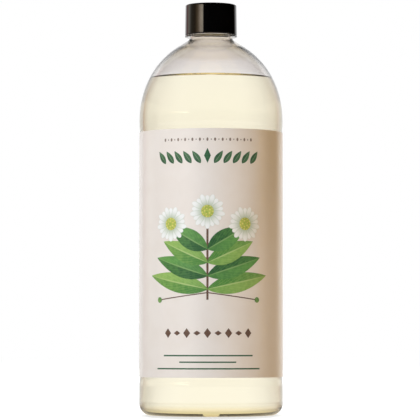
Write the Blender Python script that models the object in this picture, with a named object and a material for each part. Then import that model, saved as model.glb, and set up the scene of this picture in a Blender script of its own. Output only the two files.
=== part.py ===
"""Clear round bottle of liquid hand soap, with a lined screw cap and a wrap-round label.

The origin is the middle of the standing ring, on the floor. +Z runs up the bottle's axis, and the
label's printed front faces -Y. Every size is in metres.
"""

import math

import bmesh
import bpy
from mathutils import Vector
from mathutils.geometry import delaunay_2d_cdt

# Bottle body, blown from PET
BODY_RADIUS = 0.0415
SHOULDER_START = 0.1705
SHOULDER_RISE = 0.0480
SHOULDER_CURVE = math.radians(61.6)
HEEL_RADIUS = 0.0070
RING_WIDTH = 0.0020
PUSH_UP = 0.0065
GATE_RADIUS = 0.0016
GATE_FLAT = 0.0011
GATE_DROP = 0.0006
BODY_WALL = 0.00055
SHOULDER_WALL = 0.0010
PANEL_RECESS = 0.00025
PANEL_MARGIN = 0.0025
PANEL_STEP = 0.0010

# Threaded neck, kept from the moulded preform
NECK_RADIUS = 0.0125
NECK_HEIGHT = 0.0180
NECK_FILLET = 0.0008
BORE_RADIUS = 0.0108
MOUTH_EDGE = 0.0004

# Screw thread, one right-handed start of six turns to the inch
THREAD_PITCH = 0.0254 / 6
THREAD_TURNS = 1.5
THREAD_DEPTH = 0.0012
THREAD_CREST = 0.0010
THREAD_DROP = 0.0012
THREAD_FLANK = math.radians(27.0)
THREAD_RUN_OUT = math.radians(35.0)
THREAD_ROOT = 0.0004
THREAD_END_SINK = 0.0002
THREAD_CLEARANCE = 0.0003
FLANK_CLEARANCE = 0.0003

# Screw cap and its foam liner
CAP_HEIGHT = 0.0175
CAP_WALL = 0.00105
CAP_DRAFT = 0.00025
CAP_TOP_THICKNESS = 0.0013
CAP_EDGE = 0.0008
CAP_LEAD_IN = 0.0004
CAP_THREAD_CREST = 0.0009
LINER_THICKNESS = 0.0010
LINER_CLEARANCE = 0.0003
SEAT_GAP = 0.0003

# Liquid soap, whose level lies this far under the mouth
FILL_DROP = 0.0414
LIQUID_GAP = 0.0003

# Wrap-round label
LABEL_FOOT = 0.0221
LABEL_HEIGHT = 0.1410
LABEL_SEAM = 0.0050
LABEL_GAP = 0.00015
LABEL_THICKNESS = 0.00015
NARROWEST_FACET = 0.0002

# Printed rules and lozenges, in the places of the lettering
PRINT_CENTRE = -0.0020
HEADER_DROP = 0.0063
HEADER_LENGTH = 0.0540
HEADER_WEIGHT = 0.0010
TITLE_HEIGHT = 0.0252
TITLE_LENGTH = 0.0540
TITLE_LOZENGES = 9
LOZENGE_WIDTH = 0.0042
LOZENGE_HEIGHT = 0.0056
SMALL_LOZENGE_HEIGHT = 0.0028
RULE_HEIGHTS = (0.0125, 0.0088, 0.0051)
RULE_LENGTHS = (0.0540, 0.0330, 0.0640)
RULE_WEIGHT = 0.0011

# Printed garland of small leaves
GARLAND_DROP = 0.0155
GARLAND_PITCH = 0.00545
GARLAND_SIDE_LEAVES = 5
GARLAND_LEAF_LENGTH = 0.0086
GARLAND_LEAF_WIDTH = 0.0034
GARLAND_LEAN = math.radians(35.0)
GARLAND_MIDDLE_WIDTH = 0.0039
GARLAND_MIDDLE_GAP = 0.0038

# Printed posy, whose foot lies this far under the label's top
POSY_DROP = 0.0970
POSY_STEM = 0.0500
STEM_WEIGHT = 0.0012
STALK_WEIGHT = 0.0009
TENDRIL_WEIGHT = 0.0006
LEAF_PAIRS = 4
LEAF_WIDTH = 0.0112
LONGEST_LEAF = 0.0380
SHORTEST_LEAF = 0.0255
LOWEST_LEAF_RISE = 0.0060
HIGHEST_LEAF_RISE = 0.0285
LOWEST_LEAF_LEAN = math.radians(78.0)
HIGHEST_LEAF_LEAN = math.radians(60.0)
DAISY_RADIUS = 0.0100
DAISY_NOTCH = 0.0072
DAISY_HEART = 0.0036
DAISY_PETALS = 10
DAISY_SPREAD = 0.0220
DAISY_RISE = 0.0430
STALK_RISE = 0.0225
BERRY_RADIUS = 0.0016
BERRY_SPREAD = 0.0300
TENDRIL_RISE = 0.0040
LEAF_FULLNESS = 0.85

# Fineness of the turned forms
SIDES = 64
SHOULDER_STEPS = 9
LIQUID_STEPS = 4
HEEL_STEPS = 4
DOME_STEPS = 5
EDGE_STEPS = 2
LEAF_STEPS = 4
HEART_SIDES = 10

# Colours of the pieces: red, green and blue, then roughness and opacity
CLEAR_PET = ((0.92, 0.93, 0.92), 0.05, 0.25)
SOAP_CREAM = ((0.90, 0.86, 0.68), 0.12, 1.0)
CAP_BLACK = ((0.012, 0.012, 0.013), 0.18, 1.0)
FOAM_WHITE = ((0.86, 0.86, 0.84), 0.75, 1.0)
LABEL_CREAM = ((0.78, 0.73, 0.66), 0.32, 1.0)
INK_DARK_GREEN = ((0.030, 0.100, 0.050), 0.32, 1.0)
INK_LEAF_GREEN = ((0.090, 0.300, 0.050), 0.32, 1.0)
INK_BROWN = ((0.130, 0.065, 0.040), 0.32, 1.0)
INK_WHITE = ((0.88, 0.88, 0.84), 0.32, 1.0)
INK_YELLOW = ((0.420, 0.460, 0.080), 0.32, 1.0)


def material(name, finish):
    """Return a Principled material of the finish's colour, roughness and opacity."""
    colour, roughness, opacity = finish
    made = bpy.data.materials.new(name)
    made.use_nodes = True
    shader = made.node_tree.nodes["Principled BSDF"]
    shader.inputs["Base Color"].default_value = (*colour, 1.0)
    shader.inputs["Roughness"].default_value = roughness
    shader.inputs["Metallic"].default_value = 0.0
    shader.inputs["Alpha"].default_value = opacity
    made.diffuse_color = (*colour, opacity)
    return made


def finished(name, mesh, materials):
    """Link a mesh to the scene as a smooth-shaded object with its materials."""
    for each in materials:
        mesh.materials.append(each)
    mesh.shade_smooth()
    mesh.set_sharp_from_angle(angle=math.radians(35.0))
    made = bpy.data.objects.new(name, mesh)
    bpy.context.scene.collection.objects.link(made)
    return made


def arc(centre, radii, start, end, steps):
    """Return the points of an elliptical arc from the start to the end angle, both included."""
    points = []
    for step in range(steps + 1):
        angle = start + (end - start) * step / steps
        points.append((centre[0] + radii[0] * math.cos(angle), centre[1] + radii[1] * math.sin(angle)))
    return points


def turned(name, outline, materials):
    """Spin an outline of (radius, height) points, which starts and ends on the axis."""
    shape = bmesh.new()
    rim = [shape.verts.new((radius, 0.0, height)) for radius, height in outline]
    for first, second in zip(rim, rim[1:]):
        shape.edges.new((first, second))
    bmesh.ops.spin(
        shape,
        geom=shape.verts[:] + shape.edges[:],
        cent=(0.0, 0.0, 0.0),
        axis=(0.0, 0.0, 1.0),
        angle=math.tau,
        steps=SIDES,
    )
    bmesh.ops.remove_doubles(shape, verts=shape.verts[:], dist=1e-6)
    bmesh.ops.recalc_face_normals(shape, faces=shape.faces[:])
    mesh = bpy.data.meshes.new(name)
    shape.to_mesh(mesh)
    shape.free()
    return finished(name, mesh, materials)


def helical_ridge(name, wall_radius, crest_radius, crest_width, start_height):
    """Sweep a tapered thread ridge along the helix, its foot sunk in the wall, as a guide."""
    outwards = math.copysign(1.0, crest_radius - wall_radius)
    foot_radius = wall_radius - outwards * THREAD_ROOT
    foot_half = crest_width / 2 + abs(crest_radius - foot_radius) * math.tan(THREAD_FLANK)
    sweep = math.tau * THREAD_TURNS
    steps = round(SIDES * THREAD_TURNS)
    shape = bmesh.new()
    rings = []
    for step in range(steps + 1):
        angle = sweep * step / steps
        from_end = min(angle, sweep - angle)
        risen = min(1.0, from_end / THREAD_RUN_OUT)
        crest = wall_radius - outwards * THREAD_END_SINK
        crest += (crest_radius - crest) * math.sin(risen * math.pi / 2)
        height = start_height + THREAD_PITCH * angle / math.tau
        turn = angle + math.pi / SIDES
        section = (
            (foot_radius, height - foot_half),
            (crest, height - crest_width / 2),
            (crest, height + crest_width / 2),
            (foot_radius, height + foot_half),
        )
        corners = [Vector((r * math.cos(turn), r * math.sin(turn), z)) for r, z in section]
        rings.append([shape.verts.new(corner) for corner in corners])
    for near, far in zip(rings, rings[1:]):
        for corner in range(len(near)):
            following = (corner + 1) % len(near)
            shape.faces.new((near[corner], near[following], far[following], far[corner]))
    shape.faces.new(rings[0])
    shape.faces.new(rings[-1])
    bmesh.ops.triangulate(shape, faces=shape.faces[:])
    bmesh.ops.recalc_face_normals(shape, faces=shape.faces[:])
    mesh = bpy.data.meshes.new(name)
    shape.to_mesh(mesh)
    shape.free()
    guide = finished(name, mesh, [])
    guide.hide_render = True
    guide.display_type = "WIRE"
    return guide


def add_thread(piece, guide):
    """Join a thread ridge to the piece that carries it."""
    union = piece.modifiers.new("Thread", "BOOLEAN")
    union.operation = "UNION"
    union.solver = "EXACT"
    union.object = guide


def shoulder_angle(height, top_inset):
    """Return the angle of the shoulder's ellipse, drawn in at its top, at a height."""
    return math.asin((height - SHOULDER_START) / (SHOULDER_RISE - top_inset))


def cone_height(radius, inset, top_inset):
    """Return the height of the shoulder's straight top, drawn in by its insets, at a radius."""
    across, up = BODY_RADIUS - inset, SHOULDER_RISE - top_inset
    curve_radius = across * math.cos(SHOULDER_CURVE)
    curve_height = SHOULDER_START + up * math.sin(SHOULDER_CURVE)
    return curve_height + (curve_radius - radius) * up / across / math.tan(SHOULDER_CURVE)


def junction_height():
    """Return the height where the shoulder meets the neck."""
    return cone_height(NECK_RADIUS + NECK_FILLET, 0.0, 0.0)


def mouth_height():
    """Return the height of the bottle's sealing rim."""
    return junction_height() + NECK_HEIGHT


def fill_height():
    """Return the height of the soap's level."""
    return mouth_height() - FILL_DROP


def cap_bore_radius():
    """Return the radius of the cap's skirt inside, which clears the neck's thread."""
    return NECK_RADIUS + THREAD_DEPTH + THREAD_CLEARANCE


def cap_top_height():
    """Return the height of the cap's top face, which sits on the liner and the mouth."""
    return mouth_height() + SEAT_GAP + LINER_THICKNESS + SEAT_GAP + CAP_TOP_THICKNESS


def thread_start():
    """Return the height of the neck thread's lower end, at its middle."""
    half_width = THREAD_CREST / 2 + THREAD_DEPTH * math.tan(THREAD_FLANK)
    return mouth_height() - THREAD_DROP - half_width - THREAD_PITCH * THREAD_TURNS


def base_outline(inset):
    """Return the pushed-up base's outline from near the axis to the top of the heel."""
    ring_outer = BODY_RADIUS - HEEL_RADIUS
    ring_inner = ring_outer - RING_WIDTH
    points = []
    for step in range(1, DOME_STEPS + 1):
        radius = GATE_RADIUS + (ring_inner - GATE_RADIUS) * step / DOME_STEPS
        across = radius / ring_inner
        points.append((radius, PUSH_UP * (1.0 - across * across) + inset))
    heel = arc(
        (ring_outer, HEEL_RADIUS),
        (HEEL_RADIUS - inset, HEEL_RADIUS - inset),
        -math.pi / 2,
        0.0,
        HEEL_STEPS,
    )
    return points + heel


def side_outline(inset):
    """Return the outline of the straight side, with the label's panel set in from it."""
    outer = BODY_RADIUS - inset
    panel = outer - PANEL_RECESS
    panel_foot = LABEL_FOOT - PANEL_MARGIN
    panel_top = LABEL_FOOT + LABEL_HEIGHT + PANEL_MARGIN
    return [
        (outer, panel_foot - PANEL_STEP),
        (panel, panel_foot),
        (panel, panel_top),
        (outer, panel_top + PANEL_STEP),
    ]


def shoulder_outline(inset, top_inset, end_angle, steps):
    """Return the elliptical shoulder's outline from the side up to an angle of its ellipse."""
    radii = (BODY_RADIUS - inset, SHOULDER_RISE - top_inset)
    return arc((0.0, SHOULDER_START), radii, 0.0, end_angle, steps)


def bottle_outline():
    """Return the bottle's whole outline: up the outside, over the mouth and down the inside."""
    gate_top = PUSH_UP - GATE_DROP
    gate = [(0.0, gate_top), (GATE_FLAT, gate_top), (GATE_RADIUS, PUSH_UP)]
    fillet = arc(
        (NECK_RADIUS + NECK_FILLET, junction_height() + NECK_FILLET),
        (NECK_FILLET, NECK_FILLET),
        -math.pi / 2,
        -math.pi,
        EDGE_STEPS,
    )
    rim = mouth_height() - MOUTH_EDGE
    outer_edge = arc((NECK_RADIUS - MOUTH_EDGE, rim), (MOUTH_EDGE, MOUTH_EDGE), 0.0, math.pi / 2, EDGE_STEPS)
    inner_edge = arc(
        (BORE_RADIUS + MOUTH_EDGE, rim), (MOUTH_EDGE, MOUTH_EDGE), math.pi / 2, math.pi, EDGE_STEPS
    )
    outside = gate + base_outline(0.0) + side_outline(0.0)
    outside += shoulder_outline(0.0, 0.0, SHOULDER_CURVE, SHOULDER_STEPS) + fillet + outer_edge
    inside = [(0.0, PUSH_UP + BODY_WALL)] + base_outline(BODY_WALL) + side_outline(BODY_WALL)
    inside += shoulder_outline(BODY_WALL, SHOULDER_WALL, SHOULDER_CURVE, SHOULDER_STEPS)
    inside.append((BORE_RADIUS, cone_height(BORE_RADIUS, BODY_WALL, SHOULDER_WALL)))
    return outside + inner_edge + inside[::-1]


def make_bottle():
    """Blow the bottle in one piece with its threaded neck."""
    bottle = turned("bottle", bottle_outline(), [material("Clear PET", CLEAR_PET)])
    guide = helical_ridge(
        "neck_thread_guide",
        NECK_RADIUS,
        NECK_RADIUS + THREAD_DEPTH,
        THREAD_CREST,
        thread_start(),
    )
    add_thread(bottle, guide)


def make_liquid():
    """Fill the bottle with soap up to its level, just clear of the wall."""
    inset = BODY_WALL + LIQUID_GAP
    top_inset = SHOULDER_WALL + LIQUID_GAP
    outline = [(0.0, PUSH_UP + inset)] + base_outline(inset) + side_outline(inset)
    surface_angle = shoulder_angle(fill_height(), top_inset)
    outline += shoulder_outline(inset, top_inset, surface_angle, LIQUID_STEPS)
    outline.append((0.0, fill_height()))
    turned("liquid_soap", outline, [material("Cream liquid soap", SOAP_CREAM)])


def make_liner():
    """Cut the foam disc that the cap presses on the mouth."""
    radius = cap_bore_radius() - LINER_CLEARANCE
    foot = mouth_height() + SEAT_GAP
    top = foot + LINER_THICKNESS
    outline = [(0.0, foot), (radius, foot), (radius, top), (0.0, top)]
    turned("cap_liner", outline, [material("White foam", FOAM_WHITE)])


def make_cap():
    """Mould the smooth-sided cap, whose thread hangs just under the neck's."""
    top = cap_top_height()
    foot = top - CAP_HEIGHT
    bore = cap_bore_radius()
    outer_foot = bore + CAP_WALL
    outer_top = outer_foot - CAP_DRAFT
    edge = arc(
        (outer_top - CAP_EDGE, top - CAP_EDGE), (CAP_EDGE, CAP_EDGE), math.pi / 2, 0.0, EDGE_STEPS + 1
    )
    outline = [(0.0, top)] + edge
    outline += [
        (outer_foot, foot),
        (bore + CAP_LEAD_IN, foot),
        (bore, foot + CAP_LEAD_IN),
        (bore, top - CAP_TOP_THICKNESS),
        (0.0, top - CAP_TOP_THICKNESS),
    ]
    cap = turned("screw_cap", outline, [material("Black cap", CAP_BLACK)])
    crest = NECK_RADIUS + THREAD_CLEARANCE
    overlap = NECK_RADIUS + THREAD_DEPTH - crest
    drop = (THREAD_CREST + CAP_THREAD_CREST) / 2 + overlap * math.tan(THREAD_FLANK) + FLANK_CLEARANCE
    guide = helical_ridge("cap_thread_guide", bore, crest, CAP_THREAD_CREST, thread_start() - drop)
    add_thread(cap, guide)


def leaf(foot, length, width, angle):
    """Return a pointed oval from its foot along an angle."""
    ways = []
    for side in (-1.0, 1.0):
        edge = []
        for step in range(LEAF_STEPS + 1):
            along = step / LEAF_STEPS
            edge.append((along * length, side * width / 2 * math.sin(math.pi * along ** LEAF_FULLNESS)))
        ways.append(edge)
    outline = ways[0] + ways[1][-2:0:-1]
    cosine, sine = math.cos(angle), math.sin(angle)
    return [(foot[0] + x * cosine - y * sine, foot[1] + x * sine + y * cosine) for x, y in outline]


def disc(centre, radius, sides):
    """Return a regular polygon for a round spot."""
    return arc(centre, (radius, radius), 0.0, math.tau * (sides - 1) / sides, sides - 1)


def daisy(centre):
    """Return a scalloped ring of petals as one outline."""
    points = []
    for step in range(2 * DAISY_PETALS):
        reach = DAISY_RADIUS if step % 2 == 0 else DAISY_NOTCH
        angle = math.pi * step / DAISY_PETALS
        points.append((centre[0] + reach * math.cos(angle), centre[1] + reach * math.sin(angle)))
    return points


def bar(centre, length, weight):
    """Return a level bar about its centre."""
    left, right = centre[0] - length / 2, centre[0] + length / 2
    low, high = centre[1] - weight / 2, centre[1] + weight / 2
    return [(left, low), (right, low), (right, high), (left, high)]


def lozenge(centre, width, height):
    """Return an upright diamond about its centre."""
    return [
        (centre[0] + width / 2, centre[1]),
        (centre[0], centre[1] + height / 2),
        (centre[0] - width / 2, centre[1]),
        (centre[0], centre[1] - height / 2),
    ]


def strip(start, end, weight):
    """Return a straight stalk between two points."""
    along = Vector(end) - Vector(start)
    side = Vector((-along.y, along.x)).normalized() * weight / 2
    corners = (Vector(start) - side, Vector(end) - side, Vector(end) + side, Vector(start) + side)
    return [(corner.x, corner.y) for corner in corners]


def garland():
    """Return the header's row of small leaves that lean out from a middle lozenge."""
    height = LABEL_HEIGHT - GARLAND_DROP
    middle = lozenge((PRINT_CENTRE, height), GARLAND_MIDDLE_WIDTH, GARLAND_LEAF_LENGTH)
    shapes = [("Dark green ink", middle)]
    for place in range(GARLAND_SIDE_LEAVES):
        away = GARLAND_MIDDLE_GAP + GARLAND_PITCH * place
        for side in (-1.0, 1.0):
            foot = (PRINT_CENTRE + side * away, height - GARLAND_LEAF_LENGTH / 2)
            angle = math.pi / 2 - side * GARLAND_LEAN
            shapes.append(("Dark green ink", leaf(foot, GARLAND_LEAF_LENGTH, GARLAND_LEAF_WIDTH, angle)))
    return shapes


def on_posy(aside, rise):
    """Return a label point beside the posy's stem and up from its foot."""
    return (PRINT_CENTRE + aside, LABEL_HEIGHT - POSY_DROP + rise)


def between(low, high, share):
    """Return the value at a share of the way from a low to a high value."""
    return low + (high - low) * share


def posy():
    """Return the upright posy: a stem with paired leaves, three daisies and berries."""
    heads = [on_posy(0.0, POSY_STEM)]
    shapes = [("Brown ink", strip(on_posy(0.0, 0.0), heads[0], STEM_WEIGHT))]
    for side in (-1.0, 1.0):
        head = on_posy(side * DAISY_SPREAD, DAISY_RISE)
        berry = on_posy(side * BERRY_SPREAD, 0.0)
        heads.append(head)
        shapes.append(("Brown ink", strip(on_posy(0.0, STALK_RISE), head, STALK_WEIGHT)))
        shapes.append(("Brown ink", strip(on_posy(0.0, TENDRIL_RISE), berry, TENDRIL_WEIGHT)))
        shapes.append(("Leaf green ink", disc(berry, BERRY_RADIUS, HEART_SIDES)))
    for pair in range(LEAF_PAIRS):
        share = pair / (LEAF_PAIRS - 1)
        length = between(LONGEST_LEAF, SHORTEST_LEAF, share)
        lean = between(LOWEST_LEAF_LEAN, HIGHEST_LEAF_LEAN, share)
        foot = on_posy(0.0, between(LOWEST_LEAF_RISE, HIGHEST_LEAF_RISE, share))
        ink = "Leaf green ink" if pair % 2 == 0 else "Dark green ink"
        for side in (-1.0, 1.0):
            shapes.append((ink, leaf(foot, length, LEAF_WIDTH, math.pi / 2 - side * lean)))
    for head in heads[::-1]:
        shapes.append(("White ink", daisy(head)))
        shapes.append(("Yellow green ink", disc(head, DAISY_HEART, HEART_SIDES)))
    return shapes


def captions():
    """Return the plain rules and lozenges that stand in the places of the lettering."""
    header = bar((PRINT_CENTRE, LABEL_HEIGHT - HEADER_DROP), HEADER_LENGTH, HEADER_WEIGHT)
    shapes = [("Brown ink", header)]
    pitch = TITLE_LENGTH / TITLE_LOZENGES
    for place in range(TITLE_LOZENGES):
        offset = (place - (TITLE_LOZENGES - 1) / 2) * pitch
        height = LOZENGE_HEIGHT if place % 2 == 0 else SMALL_LOZENGE_HEIGHT
        centre = (PRINT_CENTRE + offset, TITLE_HEIGHT)
        shapes.append(("Brown ink", lozenge(centre, LOZENGE_WIDTH, height)))
    for height, length in zip(RULE_HEIGHTS, RULE_LENGTHS):
        shapes.append(("Dark green ink", bar((PRINT_CENTRE, height), length, RULE_WEIGHT)))
    return shapes


def on_facets(along, height, radius):
    """Wrap a label point round the bottle's facets, so that the label lies flat on each."""
    angle = along / radius - math.pi / 2
    facet = math.tau / SIDES
    within = angle % facet - facet / 2
    reach = radius * math.cos(facet / 2) / math.cos(within)
    return Vector((reach * math.cos(angle), reach * math.sin(angle), height))


def label_lines(half, radius):
    """Return the places along the label of its ends and of each facet edge between them."""
    facet = radius * math.tau / SIDES
    reach = math.floor((half - NARROWEST_FACET) / facet)
    return [-half] + [facet * line for line in range(-reach, reach + 1)] + [half]


def make_label():
    """Wrap the label round its panel, with the printed fields cut into its outer face."""
    inner_radius = BODY_RADIUS - PANEL_RECESS + LABEL_GAP
    radius = inner_radius + LABEL_THICKNESS
    half = math.pi * radius - LABEL_SEAM / 2
    lines = label_lines(half, radius)
    points, edges, fields, inks = [], [], [], []
    for line in lines:
        points += [Vector((line, 0.0)), Vector((line, LABEL_HEIGHT))]
        edges.append((len(points) - 2, len(points) - 1))
    count = len(points)
    for row in (0, 1):
        edges += [(place, place + 2) for place in range(row, count - 2, 2)]
    for ink, outline in captions() + garland() + posy():
        fields.append(list(range(len(points), len(points) + len(outline))))
        points += [Vector(point) for point in outline]
        inks.append(ink)
    flat, _, faces, _, _, owners = delaunay_2d_cdt(points, edges, fields, 0, 1e-7)
    palette = {
        "Label film": LABEL_CREAM,
        "Dark green ink": INK_DARK_GREEN,
        "Leaf green ink": INK_LEAF_GREEN,
        "Brown ink": INK_BROWN,
        "White ink": INK_WHITE,
        "Yellow green ink": INK_YELLOW,
    }
    slots = list(palette)
    shape = bmesh.new()
    outer = [shape.verts.new(on_facets(p.x, LABEL_FOOT + p.y, radius)) for p in flat]
    for face, owner in zip(faces, owners):
        made = shape.faces.new([outer[corner] for corner in face])
        made.material_index = slots.index(inks[max(owner)]) if owner else 0
    scale = inner_radius / radius
    rims = []
    for height in (0.0, LABEL_HEIGHT):
        on_rim = [place for place, point in enumerate(flat) if abs(point.y - height) < 1e-7]
        on_rim.sort(key=lambda place: flat[place].x)
        inner = [on_facets(flat[place].x * scale, LABEL_FOOT + height, inner_radius) for place in on_rim]
        rims.append(([outer[place] for place in on_rim], [shape.verts.new(point) for point in inner]))
    (low_outer, low_inner), (high_outer, high_inner) = rims
    for first, second in ((low_outer, low_inner), (high_outer, high_inner), (low_inner, high_inner)):
        for place in range(len(first) - 1):
            shape.faces.new((first[place], first[place + 1], second[place + 1], second[place]))
    for end in (0, -1):
        shape.faces.new((low_outer[end], low_inner[end], high_inner[end], high_outer[end]))
    bmesh.ops.recalc_face_normals(shape, faces=shape.faces[:])
    mesh = bpy.data.meshes.new("label")
    shape.to_mesh(mesh)
    shape.free()
    finished("label", mesh, [material(name, finish) for name, finish in palette.items()])


def main():
    """Clear the scene and make the filled bottle, its label and its cap."""
    for each in list(bpy.data.objects):
        bpy.data.objects.remove(each, do_unlink=True)
    make_bottle()
    make_liquid()
    make_label()
    make_liner()
    make_cap()


main()
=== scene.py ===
"""Looks of a clear one-litre bottle of pale liquid hand soap: PET, soap, film label and screw cap.

Every size is in metres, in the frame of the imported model: the bottle stands on the floor at the
origin, +Z runs up its axis and the label's printed front faces -Y.
"""

import logging
import math
from dataclasses import dataclass, field
from enum import Enum

import bmesh
import bpy
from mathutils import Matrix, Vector


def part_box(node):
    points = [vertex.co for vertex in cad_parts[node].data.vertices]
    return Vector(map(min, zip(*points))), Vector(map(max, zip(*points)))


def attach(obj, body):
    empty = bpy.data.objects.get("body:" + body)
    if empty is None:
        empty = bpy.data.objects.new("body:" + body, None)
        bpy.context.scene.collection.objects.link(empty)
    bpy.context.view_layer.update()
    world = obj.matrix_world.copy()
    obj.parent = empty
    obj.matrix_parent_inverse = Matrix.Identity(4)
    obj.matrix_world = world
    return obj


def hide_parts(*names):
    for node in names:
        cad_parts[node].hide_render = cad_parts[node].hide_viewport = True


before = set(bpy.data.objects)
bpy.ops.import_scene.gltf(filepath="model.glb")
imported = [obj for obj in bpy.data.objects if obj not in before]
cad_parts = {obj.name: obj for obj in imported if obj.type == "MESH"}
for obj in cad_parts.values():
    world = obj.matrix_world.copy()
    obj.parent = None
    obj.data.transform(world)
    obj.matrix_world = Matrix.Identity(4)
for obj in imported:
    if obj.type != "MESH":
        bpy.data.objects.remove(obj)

LOG = logging.getLogger("refill_bottle")
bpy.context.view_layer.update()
SLIVER = 1e-6
DOUBLE = 1e-7
SHARP_EDGE = math.radians(40.0)
NOISE_REACH = (0.3, 0.7)
HALF_TURN = (0.0, 180.0)
WHOLE_TURN = (-180.0, 180.0)

Point = tuple[float, float]
Triple = tuple[float, float, float]
Colour = Triple
Stops = tuple[tuple[float, Colour], ...]
Socket = bpy.types.NodeSocket
Feeds = dict[str | int, object]


class Body(Enum):
    """The rigid bodies that new pieces ride on."""

    BOTTLE = "bottle"
    CAP = "cap"


class Slot(Enum):
    """The record's material slots named for the new pieces."""

    PET = "clear_pet"
    SOAP = "soap"
    FILM = "label_film"
    CAP = "black_cap"


def node_box(node: str) -> tuple[Vector, Vector]:
    """Return a CAD node's lowest and highest corners.

    Args:
        node: the node's name.

    Returns:
        The two corners at rest.
    """
    low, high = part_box(node)
    return Vector(low), Vector(high)


def arc(centre: Point, radii: Point, start: float, end: float, steps: int) -> list[Point]:
    """Return the points of an elliptical arc.

    Args:
        centre: the ellipse's centre, as radius and height.
        radii: its half-widths along radius and height.
        start: the first point's angle, in radians.
        end: the last point's angle.
        steps: how many stretches to cut it into.

    Returns:
        The points from start to end, both included.
    """
    points = []
    for step in range(steps + 1):
        angle = start + (end - start) * step / steps
        points.append((centre[0] + radii[0] * math.cos(angle), centre[1] + radii[1] * math.sin(angle)))
    return points


def ramp(start: Point, end: Point, steps: int) -> list[Point]:
    """Return an S-shaped step between two points of an outline, eased at both ends.

    Args:
        start: the first point, as radius and height.
        end: the last point.
        steps: how many stretches to cut it into.

    Returns:
        The points from start to end, both included.
    """
    points = []
    for step in range(steps + 1):
        share = step / steps
        eased = share * share * (3.0 - 2.0 * share)
        points.append((start[0] + (end[0] - start[0]) * eased, start[1] + (end[1] - start[1]) * share))
    return points


def held(outline: list[Point], longest: float = 0.0025, reach: float = 0.00025) -> list[Point]:
    """Return an outline with a point just inside both ends of each long stretch, which keeps it flat.

    Args:
        outline: the points, as radius and height.
        longest: stretches up to this length stay as they are.
        reach: how far from the ends the new points lie.

    Returns:
        The points with the new ones among them.
    """
    points = outline[:1]
    for start, end in zip(outline, outline[1:]):
        length = math.dist(start, end)
        if length > longest:
            for share in (reach / length, 1.0 - reach / length):
                points.append((start[0] + (end[0] - start[0]) * share, start[1] + (end[1] - start[1]) * share))
        points.append(end)
    return points


class Graph:
    """A small builder for node trees of geometry or shaders."""

    def __init__(self, tree: bpy.types.NodeTree) -> None:
        """Hold the tree to build in."""
        self.tree = tree

    def node(self, kind: str, feeds: Feeds | None = None, **settings: object) -> bpy.types.Node:
        """Add a node, set its properties and feed its inputs.

        Args:
            kind: the node's type name.
            feeds: what goes into its inputs, by their names or numbers.
            settings: properties of the node by name.

        Returns:
            The new node.
        """
        made = self.tree.nodes.new(kind)
        for name, value in settings.items():
            setattr(made, name, value)
        for place, source in (feeds or {}).items():
            self.feed(made.inputs[place], source)
        return made

    def first(self, kind: str, feeds: Feeds | None = None, **settings: object) -> Socket:
        """Add a node in the same way and return its first output."""
        return self.node(kind, feeds, **settings).outputs[0]

    def feed(self, target: Socket, source: object) -> None:
        """Set a socket to a value, or link it to the socket that gives it.

        Args:
            target: the input socket.
            source: an output socket, a number, a tuple or any other plain value.
        """
        if isinstance(source, Socket):
            self.tree.links.new(source, target)
        else:
            target.default_value = source

    def maths(self, operation: str, *values: object) -> Socket:
        """Add a Math node.

        Args:
            operation: what it does, as Blender names it.
            values: its inputs, each a socket or a number.

        Returns:
            Its output socket.
        """
        return self.first("ShaderNodeMath", dict(enumerate(values)), operation=operation)

    def vector(self, operation: str, *values: object) -> Socket:
        """Add a Vector Math node, fed in order, and return its vector."""
        return self.first("ShaderNodeVectorMath", dict(enumerate(values)), operation=operation)

    def scaled(self, vector: Socket, share: object) -> Socket:
        """Multiply a vector or a colour by a number or a socket."""
        return self.first("ShaderNodeVectorMath", {0: vector, "Scale": share}, operation="SCALE")

    def length(self, vector: Socket) -> Socket:
        """Return a vector's length."""
        return self.node("ShaderNodeVectorMath", {0: vector}, operation="LENGTH").outputs["Value"]

    def parts(self, vector: Socket) -> list[Socket]:
        """Return a vector's X, Y and Z."""
        return list(self.node("ShaderNodeSeparateXYZ", {0: vector}).outputs)

    def point(self, x: object, y: object, z: object) -> Socket:
        """Return the vector of three numbers or sockets."""
        return self.first("ShaderNodeCombineXYZ", {"X": x, "Y": y, "Z": z})

    def blend(self, share: object, low: object, high: object) -> Socket:
        """Mix two colours.

        Args:
            share: how much of the second, a socket or a number from 0 to 1.
            low: the first colour, a socket or red, green and blue.
            high: the second colour.

        Returns:
            The mixed colour's socket.
        """
        first, second = (part if isinstance(part, Socket) else (*part, 1.0) for part in (low, high))
        return self.node("ShaderNodeMix", {"Factor": share, 6: first, 7: second}, data_type="RGBA").outputs[2]

    def span(
        self, value: object, low: float, high: float, to_low: float = 0.0, to_high: float = 1.0
    ) -> Socket:
        """Map a value smoothly from one range to another, held at both ends.

        Args:
            value: the socket to map.
            low: the start of its range.
            high: the end of its range.
            to_low: what the start becomes.
            to_high: what the end becomes.

        Returns:
            The mapped value's socket.
        """
        feeds = {"Value": value, "From Min": low, "From Max": high, "To Min": to_low, "To Max": to_high}
        return self.first("ShaderNodeMapRange", feeds, interpolation_type="SMOOTHSTEP")


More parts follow.
